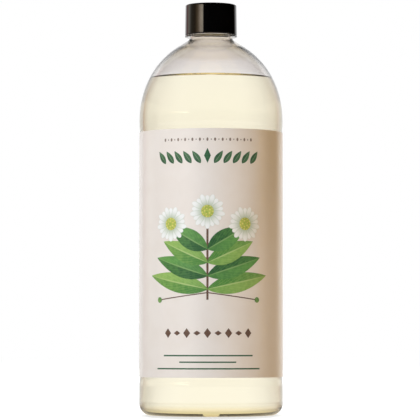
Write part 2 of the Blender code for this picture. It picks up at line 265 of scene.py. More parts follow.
class ShapeTree(Graph):
    """A geometry node tree with named inputs."""

    def __init__(self, name: str, inputs: dict[str, str]) -> None:
        """Open a tree.

        Args:
            name: the tree's name.
            inputs: each input's name and its socket type, after the geometry.
        """
        super().__init__(bpy.data.node_groups.new(name, "GeometryNodeTree"))
        self.tree.interface.new_socket("Geometry", in_out="INPUT", socket_type="NodeSocketGeometry")
        self.tree.interface.new_socket("Geometry", in_out="OUTPUT", socket_type="NodeSocketGeometry")
        for title, kind in inputs.items():
            self.tree.interface.new_socket(title, in_out="INPUT", socket_type=kind)
        self.given = self.node("NodeGroupInput").outputs
        self.result = self.node("NodeGroupOutput").inputs[0]

    def close(self, shape: Socket) -> None:
        """End the tree: copies made real, shaded smooth and given the input's material.

        Args:
            shape: the geometry's socket.
        """
        real = self.first("GeometryNodeRealizeInstances", {0: shape})
        smooth = self.first("GeometryNodeSetShadeSmooth", {"Geometry": real})
        dressed = {"Geometry": smooth, "Material": self.given["Material"]}
        self.feed(self.result, self.first("GeometryNodeSetMaterial", dressed))

    def apply(self, name: str, source: bpy.types.Mesh, values: dict[str, object]) -> bpy.types.Object:
        """Run the tree on a mesh and keep the result as a plain mesh object.

        Args:
            name: the finished object's name.
            source: the mesh that goes in.
            values: the inputs' values by name.

        Returns:
            The finished object, at the origin.
        """
        holder = bpy.data.objects.new(name + "_source", source)
        bpy.context.scene.collection.objects.link(holder)
        modifier = holder.modifiers.new("Shape", "NODES")
        modifier.node_group = self.tree
        for item in self.tree.interface.items_tree:
            if item.in_out == "INPUT" and item.name in values:
                modifier[item.identifier] = values[item.name]
        depsgraph = bpy.context.evaluated_depsgraph_get()
        mesh = bpy.data.meshes.new_from_object(holder.evaluated_get(depsgraph))
        mesh.name = name
        bpy.data.objects.remove(holder, do_unlink=True)
        made = bpy.data.objects.new(name, mesh)
        bpy.context.scene.collection.objects.link(made)
        return made


def turning_tree() -> ShapeTree:
    """Build the lathe: an outline swept round Z, with a rise for threads and a run-out at their ends.

    Returns:
        A tree whose source is the outline's points in order, radius along X and height along Z.
    """
    tree = ShapeTree(
        "Turned",
        {
            "Rows": "NodeSocketInt",
            "Steps": "NodeSocketInt",
            "Start": "NodeSocketFloat",
            "Sweep": "NodeSocketFloat",
            "Rise": "NodeSocketFloat",
            "Run-out": "NodeSocketFloat",
            "Foot radius": "NodeSocketFloat",
            "Material": "NodeSocketMaterial",
        },
    )
    given = tree.given
    size = {"Vertices X": tree.maths("ADD", given["Steps"], 1.0), "Vertices Y": given["Rows"]}
    grid = tree.node("GeometryNodeMeshGrid", size).outputs["Mesh"]
    index = tree.first("GeometryNodeInputIndex")
    row = tree.maths("MODULO", index, given["Rows"])
    step = tree.maths("FLOOR", tree.maths("DIVIDE", index, given["Rows"]))
    position = tree.first("GeometryNodeInputPosition")
    sampled = {"Geometry": given["Geometry"], "Value": position, "Index": row}
    across, _, up = tree.parts(tree.first("GeometryNodeSampleIndex", sampled, data_type="FLOAT_VECTOR"))
    share = tree.maths("DIVIDE", step, given["Steps"])
    travel = tree.maths("MULTIPLY", share, given["Sweep"])
    left = tree.maths("MINIMUM", travel, tree.maths("SUBTRACT", given["Sweep"], travel))
    left = tree.maths("ADD", left, SLIVER)
    grown = tree.maths("MINIMUM", tree.maths("DIVIDE", left, given["Run-out"]), 1.0)
    grown = tree.maths("SINE", tree.maths("MULTIPLY", grown, math.pi / 2))
    proud = tree.maths("SUBTRACT", across, given["Foot radius"])
    radius = tree.maths("ADD", given["Foot radius"], tree.maths("MULTIPLY", proud, grown))
    angle = tree.maths("ADD", given["Start"], travel)
    place = tree.point(
        tree.maths("MULTIPLY", radius, tree.maths("COSINE", angle)),
        tree.maths("MULTIPLY", radius, tree.maths("SINE", angle)),
        tree.maths("ADD", up, tree.maths("MULTIPLY", share, given["Rise"])),
    )
    moved = tree.first("GeometryNodeSetPosition", {"Geometry": grid, "Position": place})
    tree.close(tree.first("GeometryNodeMergeByDistance", {"Geometry": moved, "Distance": 2 * SLIVER}))
    return tree


@dataclass
class Lathe:
    """Turns outlines into finished pieces with the turning tree."""

    steps: int = 192
    tree: ShapeTree = field(default_factory=turning_tree)

    def turn(
        self,
        name: str,
        outline: list[Point],
        material: bpy.types.Material,
        start: float = 0.0,
        sweep: float = math.tau,
        rise: float = 0.0,
        run_out: float = 0.0,
    ) -> bpy.types.Object:
        """Sweep an outline round the axis.

        Args:
            name: the finished piece's name.
            outline: its points, as radius and height; a ring repeats its first point.
            material: what it is made of.
            start: the first angle, in radians.
            sweep: how far round it goes.
            rise: how far it climbs over the sweep.
            run_out: the angle over which a thread grows from its foot at both ends, or 0.

        Returns:
            The turned piece, closed where it can be and facing outwards.
        """
        outline = held(outline)
        source = bpy.data.meshes.new(name + "_outline")
        source.from_pydata([(radius, 0.0, height) for radius, height in outline], [], [])
        values = {
            "Rows": len(outline),
            "Steps": max(3, round(self.steps * sweep / math.tau)),
            "Start": start,
            "Sweep": sweep,
            "Rise": rise,
            "Run-out": run_out if run_out else SLIVER,
            "Foot radius": outline[0][0] if run_out else 0.0,
            "Material": material,
        }
        return tidy(self.tree.apply(name, source, values), fill=bool(run_out))


def tidy(piece: bpy.types.Object, fill: bool = False) -> bpy.types.Object:
    """Merge a piece's doubles, close its open ends if asked, and turn its faces outwards.

    Args:
        piece: the mesh object.
        fill: True to close open rims.

    Returns:
        The same object.
    """
    shape = bmesh.new()
    shape.from_mesh(piece.data)
    bmesh.ops.remove_doubles(shape, verts=shape.verts[:], dist=DOUBLE)
    bmesh.ops.dissolve_degenerate(shape, edges=shape.edges[:], dist=DOUBLE)
    if fill:
        bmesh.ops.holes_fill(shape, edges=[edge for edge in shape.edges if edge.is_boundary], sides=0)
    bmesh.ops.recalc_face_normals(shape, faces=shape.faces[:])
    shape.to_mesh(piece.data)
    shape.free()
    piece.data.shade_smooth()
    piece.data.set_sharp_from_angle(angle=SHARP_EDGE)
    return piece


def bake_modifiers(piece: bpy.types.Object) -> None:
    """Replace a piece's mesh by what its modifiers make of it, and drop them.

    Args:
        piece: the object with the modifiers.
    """
    depsgraph = bpy.context.evaluated_depsgraph_get()
    mesh = bpy.data.meshes.new_from_object(piece.evaluated_get(depsgraph))
    mesh.name = piece.name
    piece.modifiers.clear()
    piece.data = mesh


def fuse(piece: bpy.types.Object, extra: bpy.types.Object) -> None:
    """Join a second solid into a piece, so that both are one skin.

    Args:
        piece: the solid that stays.
        extra: the solid that goes into it and is removed.
    """
    union = piece.modifiers.new("Union", "BOOLEAN")
    union.operation = "UNION"
    union.solver = "EXACT"
    union.object = extra
    bake_modifiers(piece)
    bpy.data.objects.remove(extra, do_unlink=True)
    tidy(piece)


def placed(piece: bpy.types.Object, body: Body, slot: Slot, *nodes: str) -> None:
    """Put a finished piece on its body, in the place of the CAD nodes it shows.

    Args:
        piece: the finished piece.
        body: the body it rides on.
        slot: the record's material slot; not used.
        nodes: the CAD nodes that it replaces, if any.
    """
    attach(piece, body.value)
    if nodes:
        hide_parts(*nodes)
    LOG.info("%s: %d faces on %s", piece.name, len(piece.data.polygons), body.value)


class Surface(Graph):
    """A material under construction, with its Principled shader at hand."""

    def __init__(self, name: str) -> None:
        """Open a material.

        Args:
            name: the material's name.
        """
        self.material = bpy.data.materials.new(name)
        self.material.use_nodes = True
        super().__init__(self.material.node_tree)
        self.shader = self.tree.nodes["Principled BSDF"]
        self.output = self.tree.nodes["Material Output"]
        self.place = self.node("ShaderNodeTexCoord").outputs["Object"]

    def set(self, name: str, value: object) -> None:
        """Set or link one of the shader's sockets by name."""
        self.feed(self.shader.inputs[name], value)

    def noise(self, scale: float, detail: float, stretch: Triple = (1.0, 1.0, 1.0)) -> Socket:
        """Add a noise field on object coordinates.

        Args:
            scale: how many features to the metre.
            detail: how many finer layers.
            stretch: how the field is squeezed along X, Y and Z.

        Returns:
            The noise's value socket, about 0.5 in the middle.
        """
        mapping = self.first("ShaderNodeMapping", {"Vector": self.place, "Scale": stretch})
        return self.first("ShaderNodeTexNoise", {"Vector": mapping, "Scale": scale, "Detail": detail})

    def relief(self, height: Socket, depth: float, strength: float) -> None:
        """Raise the surface by a height field.

        Args:
            height: the field's socket.
            depth: how far a height of 1 stands out, in metres.
            strength: how much of it shows.
        """
        feeds = {"Strength": strength, "Distance": depth, "Height": height}
        self.set("Normal", self.first("ShaderNodeBump", feeds))

    def on_motif(self) -> list[Socket]:
        """Return how far a point lies along and across its printed motif, by the motif's own map."""
        return self.parts(self.first("ShaderNodeUVMap", uv_map="print"))[:2]

    def mix_out(self, share: Socket, first: Socket, second: Socket) -> None:
        """Send a mix of two shaders to the material's surface."""
        mix = self.first("ShaderNodeMixShader", {0: share, 1: first, 2: second})
        self.feed(self.output.inputs["Surface"], mix)

    def pass_lamp_light(self, tint: Colour) -> None:
        """Let light from lamps through to what is inside, tinted, as clear things do.

        Args:
            tint: what colour the light takes on.
        """
        clear = self.first("ShaderNodeBsdfTransparent", {"Color": (*tint, 1.0)})
        shadow = self.node("ShaderNodeLightPath").outputs["Is Shadow Ray"]
        self.mix_out(shadow, self.shader.outputs[0], clear)


@dataclass(frozen=True)
class ClearPet:
    """Blown PET: clear and very slightly wavy, with painted shade that darkens and warms it towards the neck,
    and painted yellow light from the soap at its foot.
    """

    tint: Colour = (0.996, 0.995, 0.990)
    # Painted light: the soap's yellow that shows along the base, laid into the foot's PET below these heights.
    foot_painted_soap_light: Colour = (1.0, 0.915, 0.60)
    foot_painted_light_reach: Point = (0.0015, 0.0075)
    # Painted shade: darker, warmer colours that stand in for the dim light seen through the shoulder's top and
    # the neck, faded in between these heights.
    shoulder_painted_shade: Colour = (0.963, 0.950, 0.938)
    neck_painted_shade: Colour = (0.895, 0.850, 0.790)
    shoulder_painted_shade_reach: Point = (0.1900, 0.2000)
    neck_painted_shade_reach: Point = (0.2085, 0.2115)
    index: float = 1.57
    mirror: Colour = (0.5, 0.5, 0.5)
    wetted_mirror: Colour = (0.05, 0.05, 0.05)
    mirror_reach: Point = (0.1940, 0.1980)
    wave_scale: float = 55.0
    wave_depth: float = 0.00006
    wave_strength: float = 0.35
    roughness: float = 0.015
    lamp_tint: Colour = (0.95, 0.95, 0.94)

    def build(self, wetted: bool = False) -> bpy.types.Material:
        """Return the material.

        Args:
            wetted: True for the inside that the soap touches, where next to nothing is mirrored.

        Returns:
            The material.
        """
        made = Surface("Wetted PET" if wetted else "Clear PET")
        height = made.parts(made.place)[2]
        # Painted shade: the PET darkens and warms towards the neck, standing in for the dim light seen through
        # there.
        painted_shade_near_neck = made.blend(made.span(height, *self.neck_painted_shade_reach), self.shoulder_painted_shade, self.neck_painted_shade)
        tint_with_painted_shade = made.blend(made.span(height, *self.shoulder_painted_shade_reach), self.tint, painted_shade_near_neck)
        # Painted light: the foot takes on the soap's yellow, which stands in for light through the soap.
        made.set("Base Color", made.blend(made.span(height, *self.foot_painted_light_reach), self.foot_painted_soap_light, tint_with_painted_shade))
        made.set("Transmission Weight", 1.0)
        made.set("IOR", self.index)
        dome = made.span(height, *self.mirror_reach)
        mirror = self.wetted_mirror if wetted else self.mirror
        made.set("Specular Tint", made.blend(dome, mirror, (1.0, 1.0, 1.0)))
        made.set("Roughness", self.roughness)
        made.relief(made.noise(self.wave_scale, 1.0), self.wave_depth, self.wave_strength)
        made.pass_lamp_light(self.lamp_tint)
        return made.material


@dataclass(frozen=True)
class CreamSoap:
    """Pale straw liquid soap, clear with a faint milkiness."""

    skin: Colour = (1.0, 0.985, 0.93)
    depth_tint: Colour = (1.0, 0.85, 0.17)
    density: float = 2.94
    index: float = 1.38
    clarity: float = 0.97
    mirror: Colour = (0.15, 0.15, 0.15)
    cloud_scale: float = 35.0
    cloud_stretch: Triple = (1.0, 1.0, 0.5)
    cloud_shade: float = 0.985
    roughness: float = 0.03
    lamp_tint: Colour = (0.97, 0.94, 0.82)

    def build(self) -> bpy.types.Material:
        """Build the finish.

        Returns:
            The material.
        """
        made = Surface("Cream liquid soap")
        cloud = made.span(made.noise(self.cloud_scale, 2.0, self.cloud_stretch), *NOISE_REACH)
        shade = tuple(self.cloud_shade * part for part in self.skin)
        made.set("Base Color", made.blend(cloud, shade, self.skin))
        made.set("Transmission Weight", self.clarity)
        made.set("IOR", self.index)
        made.set("Specular Tint", (*self.mirror, 1.0))
        made.set("Roughness", self.roughness)
        absorb = {"Color": (*self.depth_tint, 1.0), "Density": self.density}
        made.feed(made.output.inputs["Volume"], made.first("ShaderNodeVolumeAbsorption", absorb))
        made.pass_lamp_light(self.lamp_tint)
        return made.material


@dataclass(frozen=True)
class BlackCap:
    """Glossy black moulded polypropylene with faint moulding marks."""

    colour: Colour = (0.0012, 0.0011, 0.0011)
    gloss: Point = (0.05, 0.08)
    index: float = 1.5
    cloud_scale: float = 260.0
    cloud_stretch: Triple = (1.0, 1.0, 0.35)
    mark_scale: float = 900.0
    mark_depth: float = 0.00001
    mark_strength: float = 0.5

    def build(self) -> bpy.types.Material:
        """Build the finish.

        Returns:
            The material.
        """
        made = Surface("Black cap")
        made.set("Base Color", (*self.colour, 1.0))
        made.set("IOR", self.index)
        cloud = made.noise(self.cloud_scale, 4.0, self.cloud_stretch)
        made.set("Roughness", made.span(cloud, *NOISE_REACH, *self.gloss))
        made.relief(made.noise(self.mark_scale, 3.0), self.mark_depth, self.mark_strength)
        return made.material


@dataclass(frozen=True)
class LabelFilm:
    """Cream film with a soft sheen, a faint mottle and a fine grain."""

    light: Colour = (0.835, 0.770, 0.700)
    dark: Colour = (0.815, 0.745, 0.670)
    index: float = 1.5
    gloss: Point = (0.20, 0.25)
    mottle_scale: float = 90.0
    gloss_scale: float = 420.0
    grain_scale: float = 1600.0
    grain_depth: float = 0.00001
    grain_strength: float = 0.3

    def build(self) -> bpy.types.Material:
        """Build the finish.

        Returns:
            The material.
        """
        made = Surface("Label film")
        mottle = made.span(made.noise(self.mottle_scale, 5.0), *NOISE_REACH)
        made.set("Base Color", made.blend(mottle, self.dark, self.light))
        made.set("IOR", self.index)
        made.set("Roughness", made.span(made.noise(self.gloss_scale, 3.0), *NOISE_REACH, *self.gloss))
        made.relief(made.noise(self.grain_scale, 3.0), self.grain_depth, self.grain_strength)
        return made.material


@dataclass(frozen=True)
class Foam:
    """White closed-cell foam of the cap's liner, with painted shade in the hollows of its cells."""

    colour: Colour = (0.84, 0.84, 0.82)
    cell_scale: float = 2600.0
    painted_cell_shade: float = 0.9
    cell_depth: float = 0.00006
    cell_strength: float = 0.6
    roughness: float = 0.8

    def build(self) -> bpy.types.Material:
        """Build the finish.

        Returns:
            The material.
        """
        made = Surface("White foam")
        cells = made.node("ShaderNodeTexVoronoi", {"Vector": made.place, "Scale": self.cell_scale})
        edge = cells.outputs["Distance"]
        # Painted shade: each cell darkens towards its middle, where the relief is lowest.
        dark = tuple(self.painted_cell_shade * part for part in self.colour)
        made.set("Base Color", made.blend(made.span(edge, 0.0, 0.8), dark, self.colour))
        made.set("Roughness", self.roughness)
        made.relief(edge, self.cell_depth, self.cell_strength)
        return made.material


@dataclass(frozen=True)
class Ink:
    """Printing ink on the label's film: two tones and a fine screen grain."""

    name: str
    light: Colour
    dark: Colour
    roughness: float = 0.36

    def build(self) -> bpy.types.Material:
        """Build a plain field of ink.

        Returns:
            The material.
        """
        made = Surface(self.name)
        grain = made.span(made.noise(700.0, 4.0), 0.35, 0.65)
        made.set("Base Color", made.blend(grain, self.dark, self.light))
        made.set("Roughness", self.roughness)
        return made.material


@dataclass(frozen=True)
class LeafInk(Ink):
    """Ink of a printed leaf: one half lighter, with a pale midrib and side veins."""

    vein: Colour = (0.45, 0.58, 0.22)
    vein_count: float = 9.0
    vein_slant: float = 7.0

    def build(self) -> bpy.types.Material:
        """Build the ink, which reads the leaf's own map: along it in U, across it in V.

        Returns:
            The material.
        """
        made = Surface(self.name)
        along, across = made.on_motif()
        side = made.maths("SUBTRACT", across, 0.5)
        half = made.span(side, -0.06, 0.06, 0.0, 0.55)
        tip = made.span(along, 0.0, 1.0, 0.0, 0.45)
        tone = made.maths("ADD", half, tip)
        tone = made.maths("ADD", tone, made.span(made.noise(500.0, 3.0), *NOISE_REACH, -0.15, 0.15))
        field_colour = made.blend(tone, self.dark, self.light)
        away = made.maths("ABSOLUTE", side)
        forward = made.maths("MULTIPLY", along, self.vein_count)
        slant = made.maths("SUBTRACT", forward, made.maths("MULTIPLY", away, self.vein_slant))
        stripe = made.maths("ABSOLUTE", made.maths("SUBTRACT", made.maths("FRACT", slant), 0.5))
        veins = made.span(stripe, 0.0, 0.10, 0.35, 0.0)
        midrib = made.span(away, 0.015, 0.05, 0.85, 0.0)
        made.set("Base Color", made.blend(made.maths("MAXIMUM", veins, midrib), field_colour, self.vein))
        made.set("Roughness", self.roughness)
        return made.material


@dataclass(frozen=True)
class PetalInk(Ink):
    """Ink of a printed petal: white, greyer and greener towards its foot."""

    def build(self) -> bpy.types.Material:
        """Build the ink, which reads the petal's own map: along it in U, across it in V.

        Returns:
            The material.
        """
        made = Surface(self.name)
        along, across = made.on_motif()
        foot = made.span(along, 0.15, 0.85)
        crease = made.maths("ABSOLUTE", made.maths("SUBTRACT", across, 0.5))
        edge = made.span(crease, 0.30, 0.50, 1.0, 0.55)
        made.set("Base Color", made.blend(made.maths("MULTIPLY", foot, edge), self.dark, self.light))
        made.set("Roughness", self.roughness)
        return made.material


@dataclass
class Bottle:
    """The blown bottle: threaded neck, support ring, domed shoulder, label panel, heel and push-up."""

    lathe: Lathe
    radius: float = node_box("bottle")[1].x
    mouth: float = node_box("bottle")[1].z
    shoulder_start: float = 0.1705
    shoulder_rise: float = 0.0480
    shoulder_curve: float = math.radians(61.6)
    heel: float = 0.0070
    ring_width: float = 0.0020
    push_up: float = 0.0040
    gate_radius: float = 0.0016
    gate_drop: float = 0.0002
    gate_edge: float = 0.0005
    wall: float = 0.00055
    shoulder_wall: float = 0.0018
    panel_recess: float = 0.00025
    panel_margin: float = 0.0012
    panel_step: float = 0.0040
    neck_radius: float = 0.0125
    support_radius: float = 0.0151
    support_reach: Point = (0.2188, 0.2199)
    support_edge: float = 0.0004
    neck_flare: float = 0.0016
    bore_flare: float = 0.0030
    bore_radius: float = 0.0108
    mouth_edge: float = 0.0004
    thread_depth: float = 0.0012
    thread_crest: float = 0.0010
    thread_drop: float = 0.0012
    thread_pitch: float = 0.0254 / 6
    thread_turns: float = 1.5
    thread_flank: float = math.radians(27.0)
    thread_run_out: float = math.radians(35.0)
    thread_root: float = 0.0004
    thread_begin: float = 0.01
    shoulder_steps: int = 48
    heel_steps: int = 12
    dome_steps: int = 14
    edge_steps: int = 5
    corner_steps: int = 3

    def panel(self) -> tuple[float, float]:
        """Return the heights between which the label's panel lies."""
        low, high = node_box("label")
        return low.z - self.panel_margin, high.z + self.panel_margin

    def shoulder_angle(self, height: float, top_inset: float) -> float:
        """Return the angle of the shoulder's ellipse, drawn in at its top, at a height."""
        return math.asin((height - self.shoulder_start) / (self.shoulder_rise - top_inset))

    def base(self, inset: float) -> list[Point]:
        """Draw the base from beside the gate, over the standing ring, to the heel's top.

        Args:
            inset: how far the outline is drawn in, 0 for the outside.

        Returns:
            The points from beside the gate outwards.
        """
        ring_outer = self.radius - self.heel
        ring_inner = ring_outer - self.ring_width
        points = []
        for step in range(1, self.dome_steps + 1):
            radius = self.gate_radius + (ring_inner - self.gate_radius) * step / self.dome_steps
            across = radius / ring_inner
            points.append((radius, self.push_up * (1.0 - across * across) + inset))
        curve = self.heel - inset
        return points + arc((ring_outer, self.heel), (curve, curve), -math.pi / 2, 0.0, self.heel_steps)

    def side(self, inset: float) -> list[Point]:
        """Draw the straight side, with the label's panel set in from it.

        Args:
            inset: how far the outline is drawn in, 0 for the outside.

        Returns:
            The points from the foot upwards.
        """
        outer = self.radius - inset
        inner = outer - self.panel_recess
        foot, top = self.panel()
        foot_ramp = ramp((outer, foot - self.panel_step), (inner, foot), self.dome_steps)
        return foot_ramp + ramp((inner, top), (outer, top + self.panel_step), self.dome_steps)

    def shoulder(self, inset: float, top_inset: float, end: float) -> list[Point]:
        """Return the shoulder's outline from the side up to an angle of its ellipse."""
        radii = (self.radius - inset, self.shoulder_rise - top_inset)
        return arc((0.0, self.shoulder_start), radii, 0.0, end, self.shoulder_steps)

    def cone_height(self, radius: float, inset: float, top_inset: float) -> float:
        """Find the height of the shoulder's straight top at a radius.

        Args:
            radius: where to measure it.
            inset: how far the shoulder is drawn in at its side.
            top_inset: how far it is drawn in at its top.

        Returns:
            The height.
        """
        across, up = self.radius - inset, self.shoulder_rise - top_inset
        curve_radius = across * math.cos(self.shoulder_curve)
        curve_height = self.shoulder_start + up * math.sin(self.shoulder_curve)
        return curve_height + (curve_radius - radius) * up / across / math.tan(self.shoulder_curve)

    def flare(self, radius: float, curve: float, inset: float, top_inset: float) -> list[Point]:
        """Return the curve from the shoulder's straight top into a neck wall of a radius.

        Args:
            radius: the wall's radius.
            curve: the curve's own radius.
            inset: how far the shoulder is drawn in at its side.
            top_inset: how far it is drawn in at its top.

        Returns:
            The points from the shoulder up to the wall.
        """
        slant = (self.shoulder_rise - top_inset) / (self.radius - inset)
        slope = math.atan(slant / math.tan(self.shoulder_curve))
        start = radius + curve * (1.0 - math.sin(slope))
        centre = (radius + curve, self.cone_height(start, inset, top_inset) + curve * math.cos(slope))
        return arc(centre, (curve, curve), -math.pi / 2 - slope, -math.pi, self.dome_steps)

    def support_ring(self) -> list[Point]:
        """Draw the ring under the cap, by which the neck is held as it is blown.

        Returns:
            The points from the neck's wall out and back, upwards.
        """
        (low, high), edge = self.support_reach, self.support_edge
        rim = self.support_radius - edge
        under = arc((rim, low + edge), (edge, edge), -math.pi / 2, 0.0, self.edge_steps)
        over = arc((rim, high - edge), (edge, edge), 0.0, math.pi / 2, self.edge_steps)
        return [(self.neck_radius, low)] + under + over + [(self.neck_radius, high)]

    def outline(self) -> list[Point]:
        """Draw the whole outline: up the outside, over the mouth and down the inside.

        Returns:
            The points from under the gate to the middle of the inside.
        """
        gate_top = self.push_up - self.gate_drop
        gate_middle = (self.gate_radius - self.gate_edge, self.push_up)
        gate_curve = (self.gate_edge, self.gate_drop)
        gate = [(0.0, gate_top)] + arc(gate_middle, gate_curve, -math.pi / 2, 0.0, self.corner_steps)
        rim = self.mouth - self.mouth_edge
        edge = (self.mouth_edge, self.mouth_edge)
        outer_edge = arc((self.neck_radius - self.mouth_edge, rim), edge, 0.0, math.pi / 2, self.edge_steps)
        inner_edge = arc((self.bore_radius + self.mouth_edge, rim), edge, math.pi / 2, math.pi, self.edge_steps)
        outside = gate + self.base(0.0) + self.side(0.0) + self.shoulder(0.0, 0.0, self.shoulder_curve)
        inside = [(0.0, self.push_up + self.wall)] + self.base(self.wall) + self.side(self.wall)
        inside += self.shoulder(self.wall, self.shoulder_wall, self.shoulder_curve)
        inside += self.flare(self.bore_radius, self.bore_flare, self.wall, self.shoulder_wall)
        flare = self.flare(self.neck_radius, self.neck_flare, 0.0, 0.0)
        return outside + flare + self.support_ring() + outer_edge + inner_edge + inside[::-1]

    def thread_start(self) -> float:
        """Return the height of the thread's lower end, at its middle."""
        half_width = self.thread_crest / 2 + self.thread_depth * math.tan(self.thread_flank)
        return self.mouth - self.thread_drop - half_width - self.thread_pitch * self.thread_turns

    def ridge(self, wall: float, crest: float, crest_width: float, height: float) -> list[Point]:
        """Return a thread ridge's section, its foot sunk in the wall.

        Args:
            wall: the radius of the wall that carries it.
            crest: the radius that it reaches.
            crest_width: how wide its crest is.
            height: the height of its lower end, at its middle.

        Returns:
            The section's points as radius and height, the first repeated at the end.
        """
        foot = wall - math.copysign(self.thread_root, crest - wall)
        half = crest_width / 2 + abs(crest - foot) * math.tan(self.thread_flank)
        section = [
            (foot, height - half),
            (crest, height - crest_width / 2),
            (crest, height + crest_width / 2),
            (foot, height + half),
        ]
        return section + section[:1]

    def thread(self, name: str, section: list[Point], material: bpy.types.Material) -> bpy.types.Object:
        """Sweep a ridge's section up the helix, run out at both ends.

        Args:
            name: the solid's name.
            section: the ridge's section.
            material: what it is made of.

        Returns:
            The ridge as a solid of its own.
        """
        sweep = math.tau * self.thread_turns
        rise = self.thread_pitch * self.thread_turns
        return self.lathe.turn(name, section, material, self.thread_begin, sweep, rise, self.thread_run_out)

    def make(self) -> None:
        """Turn the bottle, join its thread, wet its inside up to the soap's level and put it in place."""
        material = ClearPet().build()
        bottle = self.lathe.turn("clear_bottle", self.outline(), material)
        crest = self.neck_radius + self.thread_depth
        section = self.ridge(self.neck_radius, crest, self.thread_crest, self.thread_start())
        fuse(bottle, self.thread("neck_thread", section, material))
        bottle.data.materials.append(ClearPet().build(wetted=True))
        level = node_box("liquid_soap")[1].z
        middle = Vector((0.0, 0.0, level / 2))
        for face in bottle.data.polygons:
            if face.center.z < level and face.normal.dot(face.center - middle) < 0.0:
                face.material_index = len(bottle.data.materials) - 1
        placed(bottle, Body.BOTTLE, Slot.PET, "bottle")


@dataclass
class Soap:
    """The liquid, which wets the wall and climbs it a little at its level."""

    bottle: Bottle
    level: float = node_box("liquid_soap")[1].z
    overlap: float = 0.00012
    climb: float = 0.0015
    climb_reach: float = 0.0009
    surface_steps: int = 24

    def make(self) -> None:
        """Turn the liquid's body and put it in place."""
        shape = self.bottle
        inset = shape.wall - self.overlap
        top_inset = shape.shoulder_wall - self.overlap
        edge_height = self.level + self.climb
        end = shape.shoulder_angle(edge_height, top_inset)
        outline = [(0.0, shape.push_up + inset)] + shape.base(inset) + shape.side(inset)
        outline += shape.shoulder(inset, top_inset, end)
        edge_radius = outline[-1][0]
        for step in range(1, self.surface_steps + 1):
            share = 1.0 - (step / self.surface_steps)
            radius = edge_radius * (1.0 - (1.0 - share) ** 2.0) if share > 0.0 else 0.0
            fall = math.exp(-(edge_radius - radius) / self.climb_reach)
            outline.append((radius, self.level + self.climb * fall))
        soap = shape.lathe.turn("cream_soap", outline, CreamSoap().build())
        placed(soap, Body.BOTTLE, Slot.SOAP, "liquid_soap")


@dataclass
class Cap:
    """The smooth-sided screw cap with its inner thread, and the foam disc in it."""

    bottle: Bottle
    foot: float = node_box("screw_cap")[0].z
    top: float = node_box("screw_cap")[1].z
    clearance: float = 0.0003
    wall: float = 0.00105
    draft: float = 0.00025
    top_thickness: float = 0.0013
    edge: float = 0.0008
    foot_edge: float = 0.00015
    lead_in: float = 0.0004
    thread_crest: float = 0.0009

    def bore(self) -> float:
        """Return the radius inside the cap's wall."""
        return self.bottle.neck_radius + self.bottle.thread_depth + self.clearance

    def outline(self) -> list[Point]:
        """Draw the cap from its top's middle, down the outside and up the inside.

        Returns:
            The points in order.
        """
        bore, corner, edge = self.bore(), self.foot_edge, self.edge
        outer_foot = bore + self.wall
        outer_top = outer_foot - self.draft
        steps = self.bottle.edge_steps + self.bottle.corner_steps
        top_edge = arc((outer_top - edge, self.top - edge), (edge, edge), math.pi / 2, 0.0, steps)
        foot_middle = (outer_foot - corner, self.foot + corner)
        foot_edge = arc(foot_middle, (corner, corner), 0.0, -math.pi / 2, self.bottle.corner_steps)
        under = self.top - self.top_thickness
        lead_in = [(bore + self.lead_in, self.foot), (bore, self.foot + self.lead_in)]
        return [(0.0, self.top)] + top_edge + foot_edge + lead_in + [(bore, under), (0.0, under)]

    def make(self) -> None:
        """Turn the cap, join its thread and put it in place."""
        shape = self.bottle
        material = BlackCap().build()
        cap = shape.lathe.turn("black_cap", self.outline(), material)
        crest = shape.neck_radius + self.clearance
        overlap = shape.neck_radius + shape.thread_depth - crest
        drop = (shape.thread_crest + self.thread_crest) / 2 + self.clearance
        drop += overlap * math.tan(shape.thread_flank)
        section = shape.ridge(self.bore(), crest, self.thread_crest, shape.thread_start() - drop)
        fuse(cap, shape.thread("cap_thread", section, material))
        placed(cap, Body.CAP, Slot.CAP, "screw_cap")

    def dress_liner(self) -> None:
        """Give the foam disc its finish; its CAD solid has the right shape."""
        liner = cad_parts["cap_liner"]
        liner.data.materials.clear()
        liner.data.materials.append(Foam().build())
        LOG.info("cap_liner: dressed as foam")


@dataclass
class Label:
    """The wrap-round film with its seam at the back."""

    lathe: Lathe
    low: Vector = field(default_factory=lambda: node_box("label")[0])
    high: Vector = field(default_factory=lambda: node_box("label")[1])
    thickness: float = 0.00015
    seam: float = 0.0050
    rows: int = 24

    def radius(self) -> float:
        """Return the radius of the film's printed face."""
        return self.high.x

    def make(self) -> None:
        """Wrap the film and put it in place."""
        radius = self.radius()
        gap = self.seam / radius
        inner = radius - self.thickness
        height = self.high.z - self.low.z
        outline = [(inner, self.low.z + height * row / self.rows) for row in range(self.rows + 1)]
        label = self.lathe.turn(
            "film_label", outline, LabelFilm().build(), math.pi / 2 + gap / 2, math.tau - gap
        )
        first = label.data.polygons[0]
        outwards = first.normal.dot(Vector((first.center.x, first.center.y, 0.0))) > 0.0
        solid = label.modifiers.new("Film", "SOLIDIFY")
        solid.thickness = self.thickness
        solid.offset = 1.0 if outwards else -1.0
        bake_modifiers(label)
        tidy(label)
        placed(label, Body.BOTTLE, Slot.FILM, "label")


class Motif(Enum):
    """The small flat shapes that the label's print repeats."""

    LEAF = "leaf"
    PETAL = "petal"
    SPOT = "spot"
    LOZENGE = "lozenge"
    BAR = "bar"


